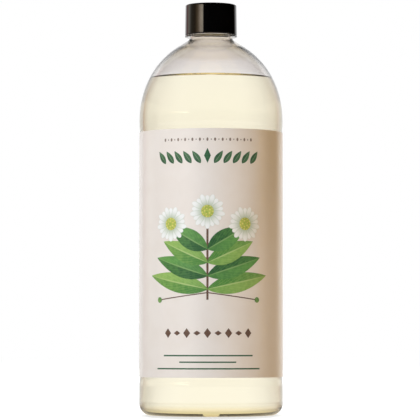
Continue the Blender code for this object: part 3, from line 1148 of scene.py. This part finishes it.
@dataclass
class MotifMesh:
    """Draws a motif one unit long, from its foot at the origin up +Y, with its own map."""

    fine: tuple[int, int] = (40, 10)
    small: tuple[int, int] = (12, 4)

    def half_width(self, motif: Motif, along: float) -> float:
        """Return half a motif's width at a share of its length.

        Args:
            motif: which shape.
            along: how far along it, from 0 to 1.

        Returns:
            Half the width there, where the motif's full width is 1.
        """
        if motif is Motif.LEAF:
            return 0.5 * math.sin(math.pi * along ** 0.82) ** 0.9
        if motif is Motif.PETAL:
            return 0.5 * math.sqrt(max(0.0, 1.0 - (2.0 * along ** 1.35 - 1.0) ** 2)) * (0.45 + 0.55 * along)
        if motif is Motif.SPOT:
            return math.sqrt(max(0.0, 0.25 - (along - 0.5) ** 2))
        if motif is Motif.LOZENGE:
            return 0.5 - abs(along - 0.5)
        return 0.5

    def draw(self, motif: Motif) -> bpy.types.Object:
        """Draw a motif's flat mesh.

        Args:
            motif: which shape.

        Returns:
            The object, which is in no scene.
        """
        shape = bmesh.new()
        grid = []
        rows, columns = self.fine if motif in (Motif.LEAF, Motif.BAR) else self.small
        for row in range(rows + 1):
            along = row / rows
            if motif in (Motif.SPOT, Motif.PETAL, Motif.LEAF):
                along = 0.5 - 0.5 * math.cos(math.pi * along)
            half = self.half_width(motif, along)
            line = []
            for column in range(columns + 1):
                across = 2.0 * column / columns - 1.0
                vertex = shape.verts.new((across * half, along, 0.0))
                line.append((vertex, (along, 0.5 + 0.5 * across)))
            grid.append(line)
        layer = shape.loops.layers.uv.new("print")
        for lower, tint_with_painted_shade in zip(grid, grid[1:]):
            for column in range(columns):
                corners = (lower[column], lower[column + 1], tint_with_painted_shade[column + 1], tint_with_painted_shade[column])
                face = shape.faces.new([vertex for vertex, _ in corners])
                for loop, (_, place) in zip(face.loops, corners):
                    loop[layer].uv = place
        bmesh.ops.remove_doubles(shape, verts=shape.verts[:], dist=1e-5)
        mesh = bpy.data.meshes.new("motif_" + motif.value)
        shape.to_mesh(mesh)
        shape.free()
        return bpy.data.objects.new(mesh.name, mesh)


def printing_tree() -> ShapeTree:
    """Build the press: a motif stamped at each point, wrapped round the label and given a thickness.

    Returns:
        A tree whose source has a point for each stamp: X along the label from its front, Y up and Z
        off its face, with the attributes turn (radians) and stretch (width, length and 1).
    """
    tree = ShapeTree(
        "Printed",
        {
            "Motif": "NodeSocketObject",
            "Radius": "NodeSocketFloat",
            "Ink": "NodeSocketFloat",
            "Material": "NodeSocketMaterial",
        },
    )
    given = tree.given
    turn = tree.first("GeometryNodeInputNamedAttribute", {"Name": "turn"}, data_type="FLOAT")
    stretch = {"Name": "stretch"}
    stamped = {
        "Points": given["Geometry"],
        "Instance": tree.node("GeometryNodeObjectInfo", {"Object": given["Motif"]}).outputs["Geometry"],
        "Rotation": tree.point(0.0, 0.0, turn),
        "Scale": tree.first("GeometryNodeInputNamedAttribute", stretch, data_type="FLOAT_VECTOR"),
    }
    real = tree.first("GeometryNodeRealizeInstances", {0: tree.first("GeometryNodeInstanceOnPoints", stamped)})
    along, up, out = tree.parts(tree.first("GeometryNodeInputPosition"))
    angle = tree.maths("DIVIDE", along, given["Radius"])
    reach = tree.maths("ADD", given["Radius"], out)
    place = tree.point(
        tree.maths("MULTIPLY", reach, tree.maths("SINE", angle)),
        tree.maths("MULTIPLY", reach, tree.maths("MULTIPLY", tree.maths("COSINE", angle), -1.0)),
        up,
    )
    wrapped = tree.first("GeometryNodeSetPosition", {"Geometry": real, "Position": place})
    raised = {"Mesh": wrapped, "Offset Scale": given["Ink"], "Individual": False}
    joined = tree.node("GeometryNodeJoinGeometry")
    tree.feed(joined.inputs[0], tree.first("GeometryNodeFlipFaces", {"Mesh": wrapped}))
    tree.feed(joined.inputs[0], tree.first("GeometryNodeExtrudeMesh", raised, mode="FACES"))
    merged = {"Geometry": joined.outputs[0], "Distance": SLIVER}
    tree.close(tree.first("GeometryNodeMergeByDistance", merged))
    return tree


@dataclass(frozen=True)
class Stamp:
    """One motif on the label: where its foot is, how it is turned and how big it is."""

    along: float
    height: float
    turn: float
    width: float
    length: float
    layer: int = 0


@dataclass
class Print:
    """The label's printed design: seed row, leaf garland, posy of daisies, lozenges and rules."""

    label: Label
    tree: ShapeTree = field(default_factory=printing_tree)
    motifs: MotifMesh = field(default_factory=MotifMesh)
    centre: float = -0.0020
    lift: float = 0.00002
    layer_step: float = 0.000012
    ink: float = 0.00001
    header_drop: float = 0.0063
    header_seeds: int = 25
    header_length: float = 0.0540
    header_seed_lengths: Point = (0.0019, 0.0009)
    header_slimness: float = 0.6
    garland_drop: float = 0.0155
    garland_pitch: float = 0.00545
    garland_side_leaves: int = 5
    garland_leaf: Point = (0.0034, 0.0086)
    garland_lean: float = math.radians(35.0)
    garland_middle_width: float = 0.0039
    garland_middle_gap: float = 0.0038
    posy_drop: float = 0.0970
    stem: float = 0.0500
    stem_weight: float = 0.0012
    stalk_weight: float = 0.0009
    tendril_weight: float = 0.0006
    leaf_pairs: int = 4
    leaf_width: float = 0.0112
    leaf_lengths: Point = (0.0380, 0.0255)
    leaf_rises: Point = (0.0060, 0.0285)
    leaf_leans: Point = (math.radians(78.0), math.radians(60.0))
    daisy_radius: float = 0.0100
    daisy_heart: float = 0.0036
    daisy_petals: int = 18
    petal_slimness: float = 0.40
    short_petal: float = 0.9
    stamen_rings: tuple[tuple[float, int], ...] = ((0.45, 5), (0.86, 11))
    stamen_radius: float = 0.00042
    leaf_layer: int = 2
    petal_layer: int = 7
    heart_layer: int = 9
    stamen_layer: int = 11
    daisy_spread: float = 0.0220
    daisy_rise: float = 0.0430
    stalk_rise: float = 0.0225
    berry_radius: float = 0.0016
    berry_spread: float = 0.0300
    tendril_rise: float = 0.0040
    title_height: float = 0.0252
    title_length: float = 0.0540
    title_lozenges: int = 9
    lozenge_width: float = 0.0042
    lozenge_lengths: Point = (0.0056, 0.0028)
    rule_heights: Triple = (0.0125, 0.0088, 0.0051)
    rule_lengths: Triple = (0.0540, 0.0330, 0.0640)
    rule_weight: float = 0.0008

    def stamp_all(self, name: str, motif: Motif, ink: Ink, stamps: list[Stamp]) -> None:
        """Print one motif in one ink at every place given for it.

        Args:
            name: the printed piece's name.
            motif: the shape to stamp.
            ink: what it is printed with.
            stamps: the places.
        """
        source = bpy.data.meshes.new(name + "_points")
        points = []
        for place in stamps:
            lift = self.lift + self.layer_step * place.layer
            points.append((place.along, self.label.low.z + place.height, lift))
        source.from_pydata(points, [], [])
        turns = source.attributes.new("turn", "FLOAT", "POINT")
        turns.data.foreach_set("value", [place.turn for place in stamps])
        stretch = source.attributes.new("stretch", "FLOAT_VECTOR", "POINT")
        for item, place in zip(stretch.data, stamps):
            item.vector = (place.width, place.length, 1.0)
        shape = self.motifs.draw(motif)
        values = {
            "Motif": shape,
            "Radius": self.label.radius(),
            "Ink": self.ink,
            "Material": ink.build(),
        }
        made = tidy(self.tree.apply(name, source, values))
        bpy.data.objects.remove(shape, do_unlink=True)
        placed(made, Body.BOTTLE, Slot.FILM)

    def top(self) -> float:
        """Return the label's height, from which the print at its head hangs."""
        return self.label.high.z - self.label.low.z

    def spaced(self, count: int, length: float) -> list[float]:
        """Return evenly spaced places along the label, about the print's centre."""
        pitch = length / count
        return [self.centre + (place - (count - 1) / 2) * pitch for place in range(count)]

    def header(self) -> list[Stamp]:
        """Lay out the row of small seeds along the label's head.

        Returns:
            The places to stamp.
        """
        stamps = []
        for place, along in enumerate(self.spaced(self.header_seeds, self.header_length)):
            size = self.header_seed_lengths[place % 2]
            height = self.top() - self.header_drop - size / 2
            stamps.append(Stamp(along, height, 0.0, size * self.header_slimness, size))
        return stamps

    def garland_foot(self) -> float:
        """Return the height at which the garland's leaves start."""
        return self.top() - self.garland_drop - self.garland_leaf[1] / 2

    def garland(self) -> list[Stamp]:
        """Lay out the row of small leaves that lean out from a middle lozenge.

        Returns:
            The places to stamp.
        """
        stamps = []
        width, length = self.garland_leaf
        height = self.garland_foot()
        for place in range(self.garland_side_leaves):
            away = self.garland_middle_gap + self.garland_pitch * place
            for side in (-1.0, 1.0):
                turn = -side * self.garland_lean
                stamps.append(Stamp(self.centre + side * away, height, turn, width, length))
        return stamps

    def garland_middle(self) -> list[Stamp]:
        """Return the lozenge in the middle of the garland."""
        length = self.garland_leaf[1]
        return [Stamp(self.centre, self.garland_foot(), 0.0, self.garland_middle_width, length)]

    def on_posy(self, aside: float, rise: float) -> Point:
        """Return a label point beside the posy's stem and up from its foot."""
        return self.centre + aside, self.top() - self.posy_drop + rise

    def stalk(self, foot: Point, head: Point, weight: float) -> Stamp:
        """Return a straight stalk between two points."""
        reach, rise = head[0] - foot[0], head[1] - foot[1]
        return Stamp(foot[0], foot[1], math.atan2(-reach, rise), weight, math.hypot(reach, rise))

    def heads(self) -> list[Point]:
        """Return the middles of the three daisies."""
        sides = [self.on_posy(side * self.daisy_spread, self.daisy_rise) for side in (-1.0, 1.0)]
        return [*sides, self.on_posy(0.0, self.stem)]

    def berries(self) -> list[Point]:
        """Return the middles of the two berries."""
        return [self.on_posy(side * self.berry_spread, 0.0) for side in (-1.0, 1.0)]

    def stalks(self) -> list[Stamp]:
        """Lay out the posy's stem and the stalks of its daisies and berries.

        Returns:
            The places to stamp.
        """
        stamps = [self.stalk(self.on_posy(0.0, 0.0), self.on_posy(0.0, self.stem), self.stem_weight)]
        for head in self.heads()[:2]:
            stamps.append(self.stalk(self.on_posy(0.0, self.stalk_rise), head, self.stalk_weight))
        for berry in self.berries():
            stamps.append(self.stalk(self.on_posy(0.0, self.tendril_rise), berry, self.tendril_weight))
        return stamps

    def leaves(self, parity: int) -> list[Stamp]:
        """Lay out every second pair of the posy's leaves.

        Args:
            parity: 0 to start with the lowest pair, 1 with the one above it.

        Returns:
            The places to stamp.
        """
        stamps = []
        for pair in range(parity, self.leaf_pairs, 2):
            share = pair / (self.leaf_pairs - 1)
            ends = (self.leaf_lengths, self.leaf_rises, self.leaf_leans)
            length, rise, lean = (low + (high - low) * share for low, high in ends)
            foot = self.on_posy(0.0, rise)
            for side in (-1.0, 1.0):
                stamps.append(Stamp(*foot, -side * lean, self.leaf_width, length, self.leaf_layer + pair))
        return stamps

    def petals(self) -> list[Stamp]:
        """Lay out the daisies' petals, every second one a layer up and a little longer.

        Returns:
            The places to stamp.
        """
        stamps = []
        for head in self.heads():
            for petal in range(self.daisy_petals):
                turn = math.tau * petal / self.daisy_petals
                length = self.daisy_radius * (1.0 if petal % 2 else self.short_petal)
                width = self.daisy_radius * self.petal_slimness
                stamps.append(Stamp(*head, turn, width, length, self.petal_layer + petal % 2))
        return stamps

    def spots(self, middles: list[Point], radius: float, layer: int) -> list[Stamp]:
        """Return a round spot about each middle."""
        return [Stamp(x, y - radius, 0.0, 2.0 * radius, 2.0 * radius, layer) for x, y in middles]

    def stamens(self) -> list[Stamp]:
        """Lay out the rings of small dots on the daisies' hearts.

        Returns:
            The places to stamp.
        """
        middles = []
        for head in self.heads():
            for ring, count in self.stamen_rings:
                for dot in range(count):
                    angle = math.tau * (dot + ring) / count
                    reach = self.daisy_heart * ring
                    middles.append((head[0] + reach * math.cos(angle), head[1] + reach * math.sin(angle)))
        return self.spots(middles, self.stamen_radius, self.stamen_layer)

    def lozenges(self) -> list[Stamp]:
        """Lay out the row of upright lozenges, large and small by turns.

        Returns:
            The places to stamp.
        """
        stamps = []
        for place, along in enumerate(self.spaced(self.title_lozenges, self.title_length)):
            length = self.lozenge_lengths[place % 2]
            stamps.append(Stamp(along, self.title_height - length / 2, 0.0, self.lozenge_width, length))
        return stamps

    def rules(self) -> list[Stamp]:
        """Lay out the thin level rules at the label's foot.

        Returns:
            The places to stamp.
        """
        stamps = []
        for height, length in zip(self.rule_heights, self.rule_lengths):
            start = self.centre - length / 2
            stamps.append(Stamp(start, height, -math.pi / 2, self.rule_weight, length))
        return stamps

    def make(self) -> None:
        """Print every part of the design on the label."""
        dark_green = Ink("Dark green ink", (0.045, 0.130, 0.060), (0.030, 0.095, 0.045))
        brown = Ink("Brown ink", (0.150, 0.085, 0.055), (0.110, 0.060, 0.040))
        grey_brown = Ink("Grey brown ink", (0.260, 0.200, 0.160), (0.210, 0.160, 0.130))
        fresh_leaf = LeafInk("Fresh leaf ink", (0.300, 0.480, 0.120), (0.075, 0.230, 0.045))
        deep_leaf = LeafInk(
            "Deep leaf ink", (0.130, 0.330, 0.080), (0.022, 0.095, 0.030), vein=(0.24, 0.40, 0.14)
        )
        small_leaf = LeafInk(
            "Garland leaf ink", (0.060, 0.160, 0.070), (0.025, 0.085, 0.040), vein=(0.30, 0.38, 0.25)
        )
        petal = PetalInk("Petal ink", (0.90, 0.90, 0.86), (0.42, 0.50, 0.34))
        heart = Ink("Daisy heart ink", (0.520, 0.560, 0.110), (0.330, 0.420, 0.080))
        stamen = Ink("Stamen ink", (0.780, 0.700, 0.230), (0.620, 0.500, 0.130))
        berry = Ink("Berry ink", (0.200, 0.360, 0.100), (0.090, 0.220, 0.060))
        hearts = self.spots(self.heads(), self.daisy_heart, self.heart_layer)
        berries = self.spots(self.berries(), self.berry_radius, self.heart_layer)
        for name, motif, ink, stamps in (
            ("header", Motif.SPOT, grey_brown, self.header()),
            ("garland", Motif.LEAF, small_leaf, self.garland()),
            ("garland_middle", Motif.LOZENGE, dark_green, self.garland_middle()),
            ("stalks", Motif.BAR, brown, self.stalks()),
            ("fresh_leaves", Motif.LEAF, fresh_leaf, self.leaves(0)),
            ("deep_leaves", Motif.LEAF, deep_leaf, self.leaves(1)),
            ("petals", Motif.PETAL, petal, self.petals()),
            ("hearts", Motif.SPOT, heart, hearts),
            ("stamens", Motif.SPOT, stamen, self.stamens()),
            ("berries", Motif.SPOT, berry, berries),
            ("lozenges", Motif.LOZENGE, brown, self.lozenges()),
            ("rules", Motif.BAR, dark_green, self.rules()),
        ):
            self.stamp_all("print_" + name, motif, ink, stamps)


@dataclass(frozen=True)
class Lamp:
    """A soft rectangular lamp that faces the bottle's middle, or straight across where it is lower.

    Its angle runs round from the camera, positive to the right, and its level is what a white matt
    face turned to it would show.
    """

    name: str
    angle: float
    distance: float
    height: float
    size: Point
    level: float
    colour: Colour
    aim_height: float = 0.12

    def add(self) -> None:
        """Place the lamp, kept out of reflections and of the view through the bottle."""
        data = bpy.data.lights.new(self.name, "AREA")
        data.shape = "RECTANGLE"
        data.size, data.size_y = self.size
        data.energy = self.level * math.pi**2 * (self.distance**2 + self.height**2)
        data.color = self.colour
        lamp = bpy.data.objects.new(self.name, data)
        turn = math.radians(self.angle)
        lamp.location = (self.distance * math.sin(turn), -self.distance * math.cos(turn), self.height)
        target = Vector((0.0, 0.0, min(self.aim_height, self.height)))
        lamp.rotation_euler = (target - lamp.location).to_track_quat("-Z", "Y").to_euler()
        lamp.visible_camera = False
        lamp.visible_glossy = False
        lamp.visible_transmission = False
        bpy.context.scene.collection.objects.link(lamp)


@dataclass
class Studio:
    """The pale floor, the light and the camera at the photograph's viewing angle."""

    distance: float = 1.65
    eye_height: float = 0.0434
    aim: Point = (-0.00058, 0.1186)
    view_width: float = 0.2429
    sensor: float = 36.0
    floor_size: float = 9.0
    floor_drop: float = 0.0001
    floor_tones: tuple[Colour, Colour] = ((0.43, 0.43, 0.43), (0.45, 0.45, 0.45))
    lamps: tuple[Lamp, ...] = (
        Lamp("key", -33.0, 1.9, 0.70, (1.0, 1.7), 1.05, (0.99, 1.0, 1.04)),
        Lamp("warm", 85.0, 2.2, 0.50, (0.8, 1.2), 0.355, (1.0, 0.55, 0.03)),
        Lamp("low_card", 70.0, 0.13, 0.06, (0.04, 0.06), 0.046, (0.96, 1.0, 1.12)),
        Lamp("back_left", -150.0, 2.4, 0.80, (1.4, 1.4), 0.50, (0.95, 1.0, 1.0)),
        Lamp("back_right", 153.0, 2.4, 0.80, (1.4, 1.4), 0.85, (0.85, 1.0, 1.15)),
    )
    room: Colour = (0.006, 0.006, 0.006)
    mirror_peak: float = 8.0
    mirror_stops: Stops = (
        (-143.5, (1.0, 1.0, 1.0)),
        (-141.0, (0.55, 0.30, 0.30)),
        (-130.0, (0.60, 0.35, 0.33)),
        (-122.0, (1.10, 0.95, 0.80)),
        (-112.0, (1.15, 1.10, 0.95)),
        (-105.0, (0.55, 0.48, 0.42)),
        (-97.0, (0.32, 0.28, 0.20)),
        (-76.0, (0.30, 0.20, 0.12)),
        (-66.0, (0.30, 0.20, 0.12)),
        (-36.0, (0.02, 0.02, 0.02)),
        (0.0, (0.0, 0.0, 0.0)),
        (122.0, (0.0, 0.0, 0.0)),
        (129.0, (0.05, 0.04, 0.03)),
        (134.0, (0.28, 0.27, 0.26)),
        (140.0, (1.0, 1.0, 1.0)),
    )
    softbox_stops: Stops = (
        (-76.0, (0.0, 0.0, 0.0)),
        (-64.0, (1.10, 0.80, 0.45)),
        (-58.0, (2.30, 1.80, 1.30)),
        (-53.0, (4.30, 3.40, 2.60)),
        (-47.0, (5.90, 5.00, 3.90)),
        (-40.0, (6.40, 5.50, 4.30)),
        (-36.5, (6.20, 5.40, 4.30)),
        (-34.5, (0.0, 0.0, 0.0)),
    )
    softbox_band: Point = (7.45, 8.35)
    softbox_fade: Point = (0.3, 0.6)
    through_stops: Stops = (
        (0.0, (1.035, 1.03, 1.025)),
        (15.0, (1.035, 1.03, 1.025)),
        (28.0, (0.945, 0.93, 0.915)),
        (37.0, (0.80, 0.785, 0.76)),
        (44.0, (0.73, 0.715, 0.68)),
        (48.0, (0.665, 0.635, 0.585)),
        (52.0, (0.54, 0.46, 0.415)),
        (59.0, (0.375, 0.35, 0.34)),
        (66.0, (0.36, 0.325, 0.32)),
        (76.0, (0.34, 0.335, 0.335)),
        (86.0, (0.58, 0.57, 0.55)),
        (98.0, (0.86, 0.85, 0.82)),
        (180.0, (1.0, 0.99, 0.97)),
    )
    left_lift: Stops = (
        (30.0, (1.0, 1.0, 1.0)),
        (38.0, (1.12, 1.09, 1.09)),
        (52.0, (1.14, 1.09, 1.09)),
        (59.0, (1.27, 1.22, 1.20)),
        (70.0, (1.17, 1.12, 1.10)),
        (90.0, (1.0, 1.0, 1.0)),
    )
    upper_reach: Point = (0.0, 20.0)
    upper_backdrop: Stops = (
        (0.0, (1.0, 1.0, 1.0)),
        (2.0, (0.955, 0.955, 0.95)),
        (9.0, (0.93, 0.92, 0.93)),
        (10.2, (0.88, 0.86, 0.88)),
        (12.7, (0.84, 0.82, 0.84)),
        (13.2, (0.77, 0.76, 0.76)),
        (20.0, (0.76, 0.74, 0.72)),
    )
    # Painted shadow round the bottle's foot: the floor's emission for the camera drops from 1.0 to 0.54 within
    # these stretched distances.
    painted_shadow_stretch: Triple = (1.15, 0.5, 0.0)
    painted_shadow_reach: Point = (0.040, 0.055)
    floor_glow_and_painted_shadow: Point = (0.54, 1.0)
    # Painted light: a pool of the soap's yellow on the floor under the bottle, seen only in reflections and
    # through the bottle, out to these distances.
    painted_soap_light_pool: Colour = (1.0, 0.88, 0.66)
    painted_soap_light_reach: Point = (0.036, 0.055)
    backdrop_top: Point = (24.0, 36.0)
    ceiling: Colour = (0.05, 0.045, 0.04)
    ceiling_through: Colour = (0.55, 0.46, 0.28)

    def add_camera(self) -> None:
        """Place the camera low in front, tilted up a little at the bottle."""
        data = bpy.data.cameras.new("camera")
        data.sensor_width = self.sensor
        data.lens = self.sensor * self.distance / self.view_width
        camera = bpy.data.objects.new("camera", data)
        camera.location = (0.0, -self.distance, self.eye_height)
        target = Vector((self.aim[0], 0.0, self.aim[1]))
        camera.rotation_euler = (target - camera.location).to_track_quat("-Z", "Y").to_euler()
        bpy.context.scene.collection.objects.link(camera)
        bpy.context.scene.camera = camera

    def banded(self, sky: Graph, value: Socket, reach: Point, stops: Stops) -> Socket:
        """Colour the surroundings by an angle, between named stops.

        Args:
            sky: the world's graph.
            value: the angle's socket, in degrees.
            reach: the lowest and highest angle.
            stops: each stop's angle and colour, in rising order.

        Returns:
            The colour's socket.
        """
        share = sky.maths("DIVIDE", sky.maths("SUBTRACT", value, reach[0]), reach[1] - reach[0])
        bands = sky.node("ShaderNodeValToRGB", {0: share})
        elements = bands.color_ramp.elements
        while len(elements) < len(stops):
            elements.new(1.0)
        for element, (angle, colour) in zip(elements, stops):
            element.position = (angle - reach[0]) / (reach[1] - reach[0])
            element.color = (*(part / self.mirror_peak for part in colour), 1.0)
        return sky.scaled(bands.outputs[0], self.mirror_peak)

    def seen_through(self, sky: Graph, angle: Socket, left: Socket) -> Socket:
        """Colour what clear things show behind them.

        Args:
            sky: the world's or the floor's graph.
            angle: the angle from straight behind, in degrees.
            left: 1 to the left of the view, 0 to the right.

        Returns:
            The colour's socket.
        """
        bands = self.banded(sky, angle, HALF_TURN, self.through_stops)
        lift = self.banded(sky, angle, HALF_TURN, self.left_lift)
        return sky.blend(left, bands, sky.vector("MULTIPLY", bands, lift))

    def add_world(self) -> None:
        """Surround the bottle with a white backdrop behind it and a dark room with one soft box."""
        world = bpy.data.worlds.new("studio")
        bpy.context.scene.world = world
        world.use_nodes = True
        sky = Graph(world.node_tree)
        background = world.node_tree.nodes["Background"]
        across, along, up = sky.parts(sky.node("ShaderNodeTexCoord").outputs["Generated"])
        turn = sky.maths("DEGREES", sky.maths("ARCTAN2", across, sky.maths("MULTIPLY", along, -1.0)))
        rise = sky.maths("DEGREES", sky.maths("ARCSINE", up))
        under_top = sky.span(rise, *self.backdrop_top, 1.0, 0.0)
        mirrored = self.banded(sky, turn, WHOLE_TURN, self.mirror_stops)
        softbox = self.banded(sky, turn, WHOLE_TURN, self.softbox_stops)
        (low, high), (fade_in, fade_out) = self.softbox_band, self.softbox_fade
        over_foot = sky.span(rise, low - fade_in, low)
        in_band = sky.maths("MULTIPLY", over_foot, sky.span(rise, high, high + fade_out, 1.0, 0.0))
        lit = sky.vector("ADD", mirrored, sky.scaled(softbox, in_band))
        behind = sky.maths("SUBTRACT", HALF_TURN[1], sky.maths("ABSOLUTE", turn))
        through = self.seen_through(sky, behind, sky.maths("LESS_THAN", turn, 0.0))
        above = self.banded(sky, rise, self.upper_reach, self.upper_backdrop)
        path = sky.node("ShaderNodeLightPath").outputs
        mirror = sky.blend(under_top, self.ceiling, lit)
        clear = sky.blend(under_top, self.ceiling_through, sky.vector("MULTIPLY", through, above))
        seen = sky.blend(path["Is Glossy Ray"], self.room, mirror)
        seen = sky.blend(path["Is Transmission Ray"], seen, clear)
        seen = sky.blend(path["Is Camera Ray"], seen, (1.0, 1.0, 1.0))
        sky.feed(background.inputs["Color"], seen)
        sky.feed(background.inputs["Strength"], 1.0)

    def add_floor(self) -> None:
        """Lay a white floor with the soft shadow that its lamps cast, a painted shadow round the bottle's foot,
        and a painted pool of the soap's yellow light under the bottle, seen in reflections and through it.
        """
        half = self.floor_size / 2
        mesh = bpy.data.meshes.new("floor")
        corners = [(x * half, y * half, -self.floor_drop) for x, y in ((-1, -1), (1, -1), (1, 1), (-1, 1))]
        mesh.from_pydata(corners, [], [(0, 1, 2, 3)])
        floor = bpy.data.objects.new("floor", mesh)
        bpy.context.scene.collection.objects.link(floor)
        made = Surface("Pale floor")
        # Painted shadow: the stretched distance from the bottle's foot that dims the floor's emission near it.
        shade = made.length(made.vector("MULTIPLY", made.place, self.painted_shadow_stretch))
        grain = made.span(made.noise(40.0, 3.0), *NOISE_REACH)
        made.set("Base Color", made.blend(grain, *self.floor_tones))
        made.set("Roughness", 0.9)
        made.set("Specular IOR Level", 0.0)
        path = made.node("ShaderNodeLightPath").outputs
        # Painted shadow: the camera sees less emission close to the bottle, whatever the lamps do.
        emission_with_painted_shadow = made.span(shade, *self.painted_shadow_reach, *self.floor_glow_and_painted_shadow)
        made.set("Emission Color", (1.0, 1.0, 1.0, 1.0))
        made.set("Emission Strength", made.maths("MULTIPLY", path["Is Camera Ray"], emission_with_painted_shadow))
        across, back, _ = made.parts(made.place)
        turn = made.maths("DEGREES", made.maths("ARCTAN2", across, back))
        bands = self.seen_through(made, made.maths("ABSOLUTE", turn), made.maths("LESS_THAN", turn, 0.0))
        # Painted light: under the bottle, reflections and rays through it find the soap's yellow in place of
        # the backdrop.
        past_painted_pool = made.span(made.length(made.place), *self.painted_soap_light_reach)
        backdrop = made.first("ShaderNodeEmission", {"Color": made.blend(past_painted_pool, self.painted_soap_light_pool, bands)})
        seen = made.maths("MAXIMUM", path["Is Glossy Ray"], path["Is Transmission Ray"])
        made.mix_out(seen, made.shader.outputs[0], backdrop)
        mesh.materials.append(made.material)

    def make(self) -> None:
        """Set up the view and the light."""
        bpy.context.scene.view_settings.view_transform = "Standard"
        self.add_camera()
        for lamp in self.lamps:
            lamp.add()
        self.add_world()
        self.add_floor()
        LOG.info("studio: camera, lamps, world and floor")


def main() -> None:
    """Build the bottle, its soap, cap, label and print, then the studio round them."""
    logging.basicConfig(level=logging.INFO, format="%(message)s")
    lathe = Lathe()
    bottle = Bottle(lathe)
    bottle.make()
    Soap(bottle).make()
    cap = Cap(bottle)
    cap.make()
    cap.dress_liner()
    label = Label(lathe)
    label.make()
    Print(label).make()
    Studio().make()


if __name__ == "__main__":
    main()
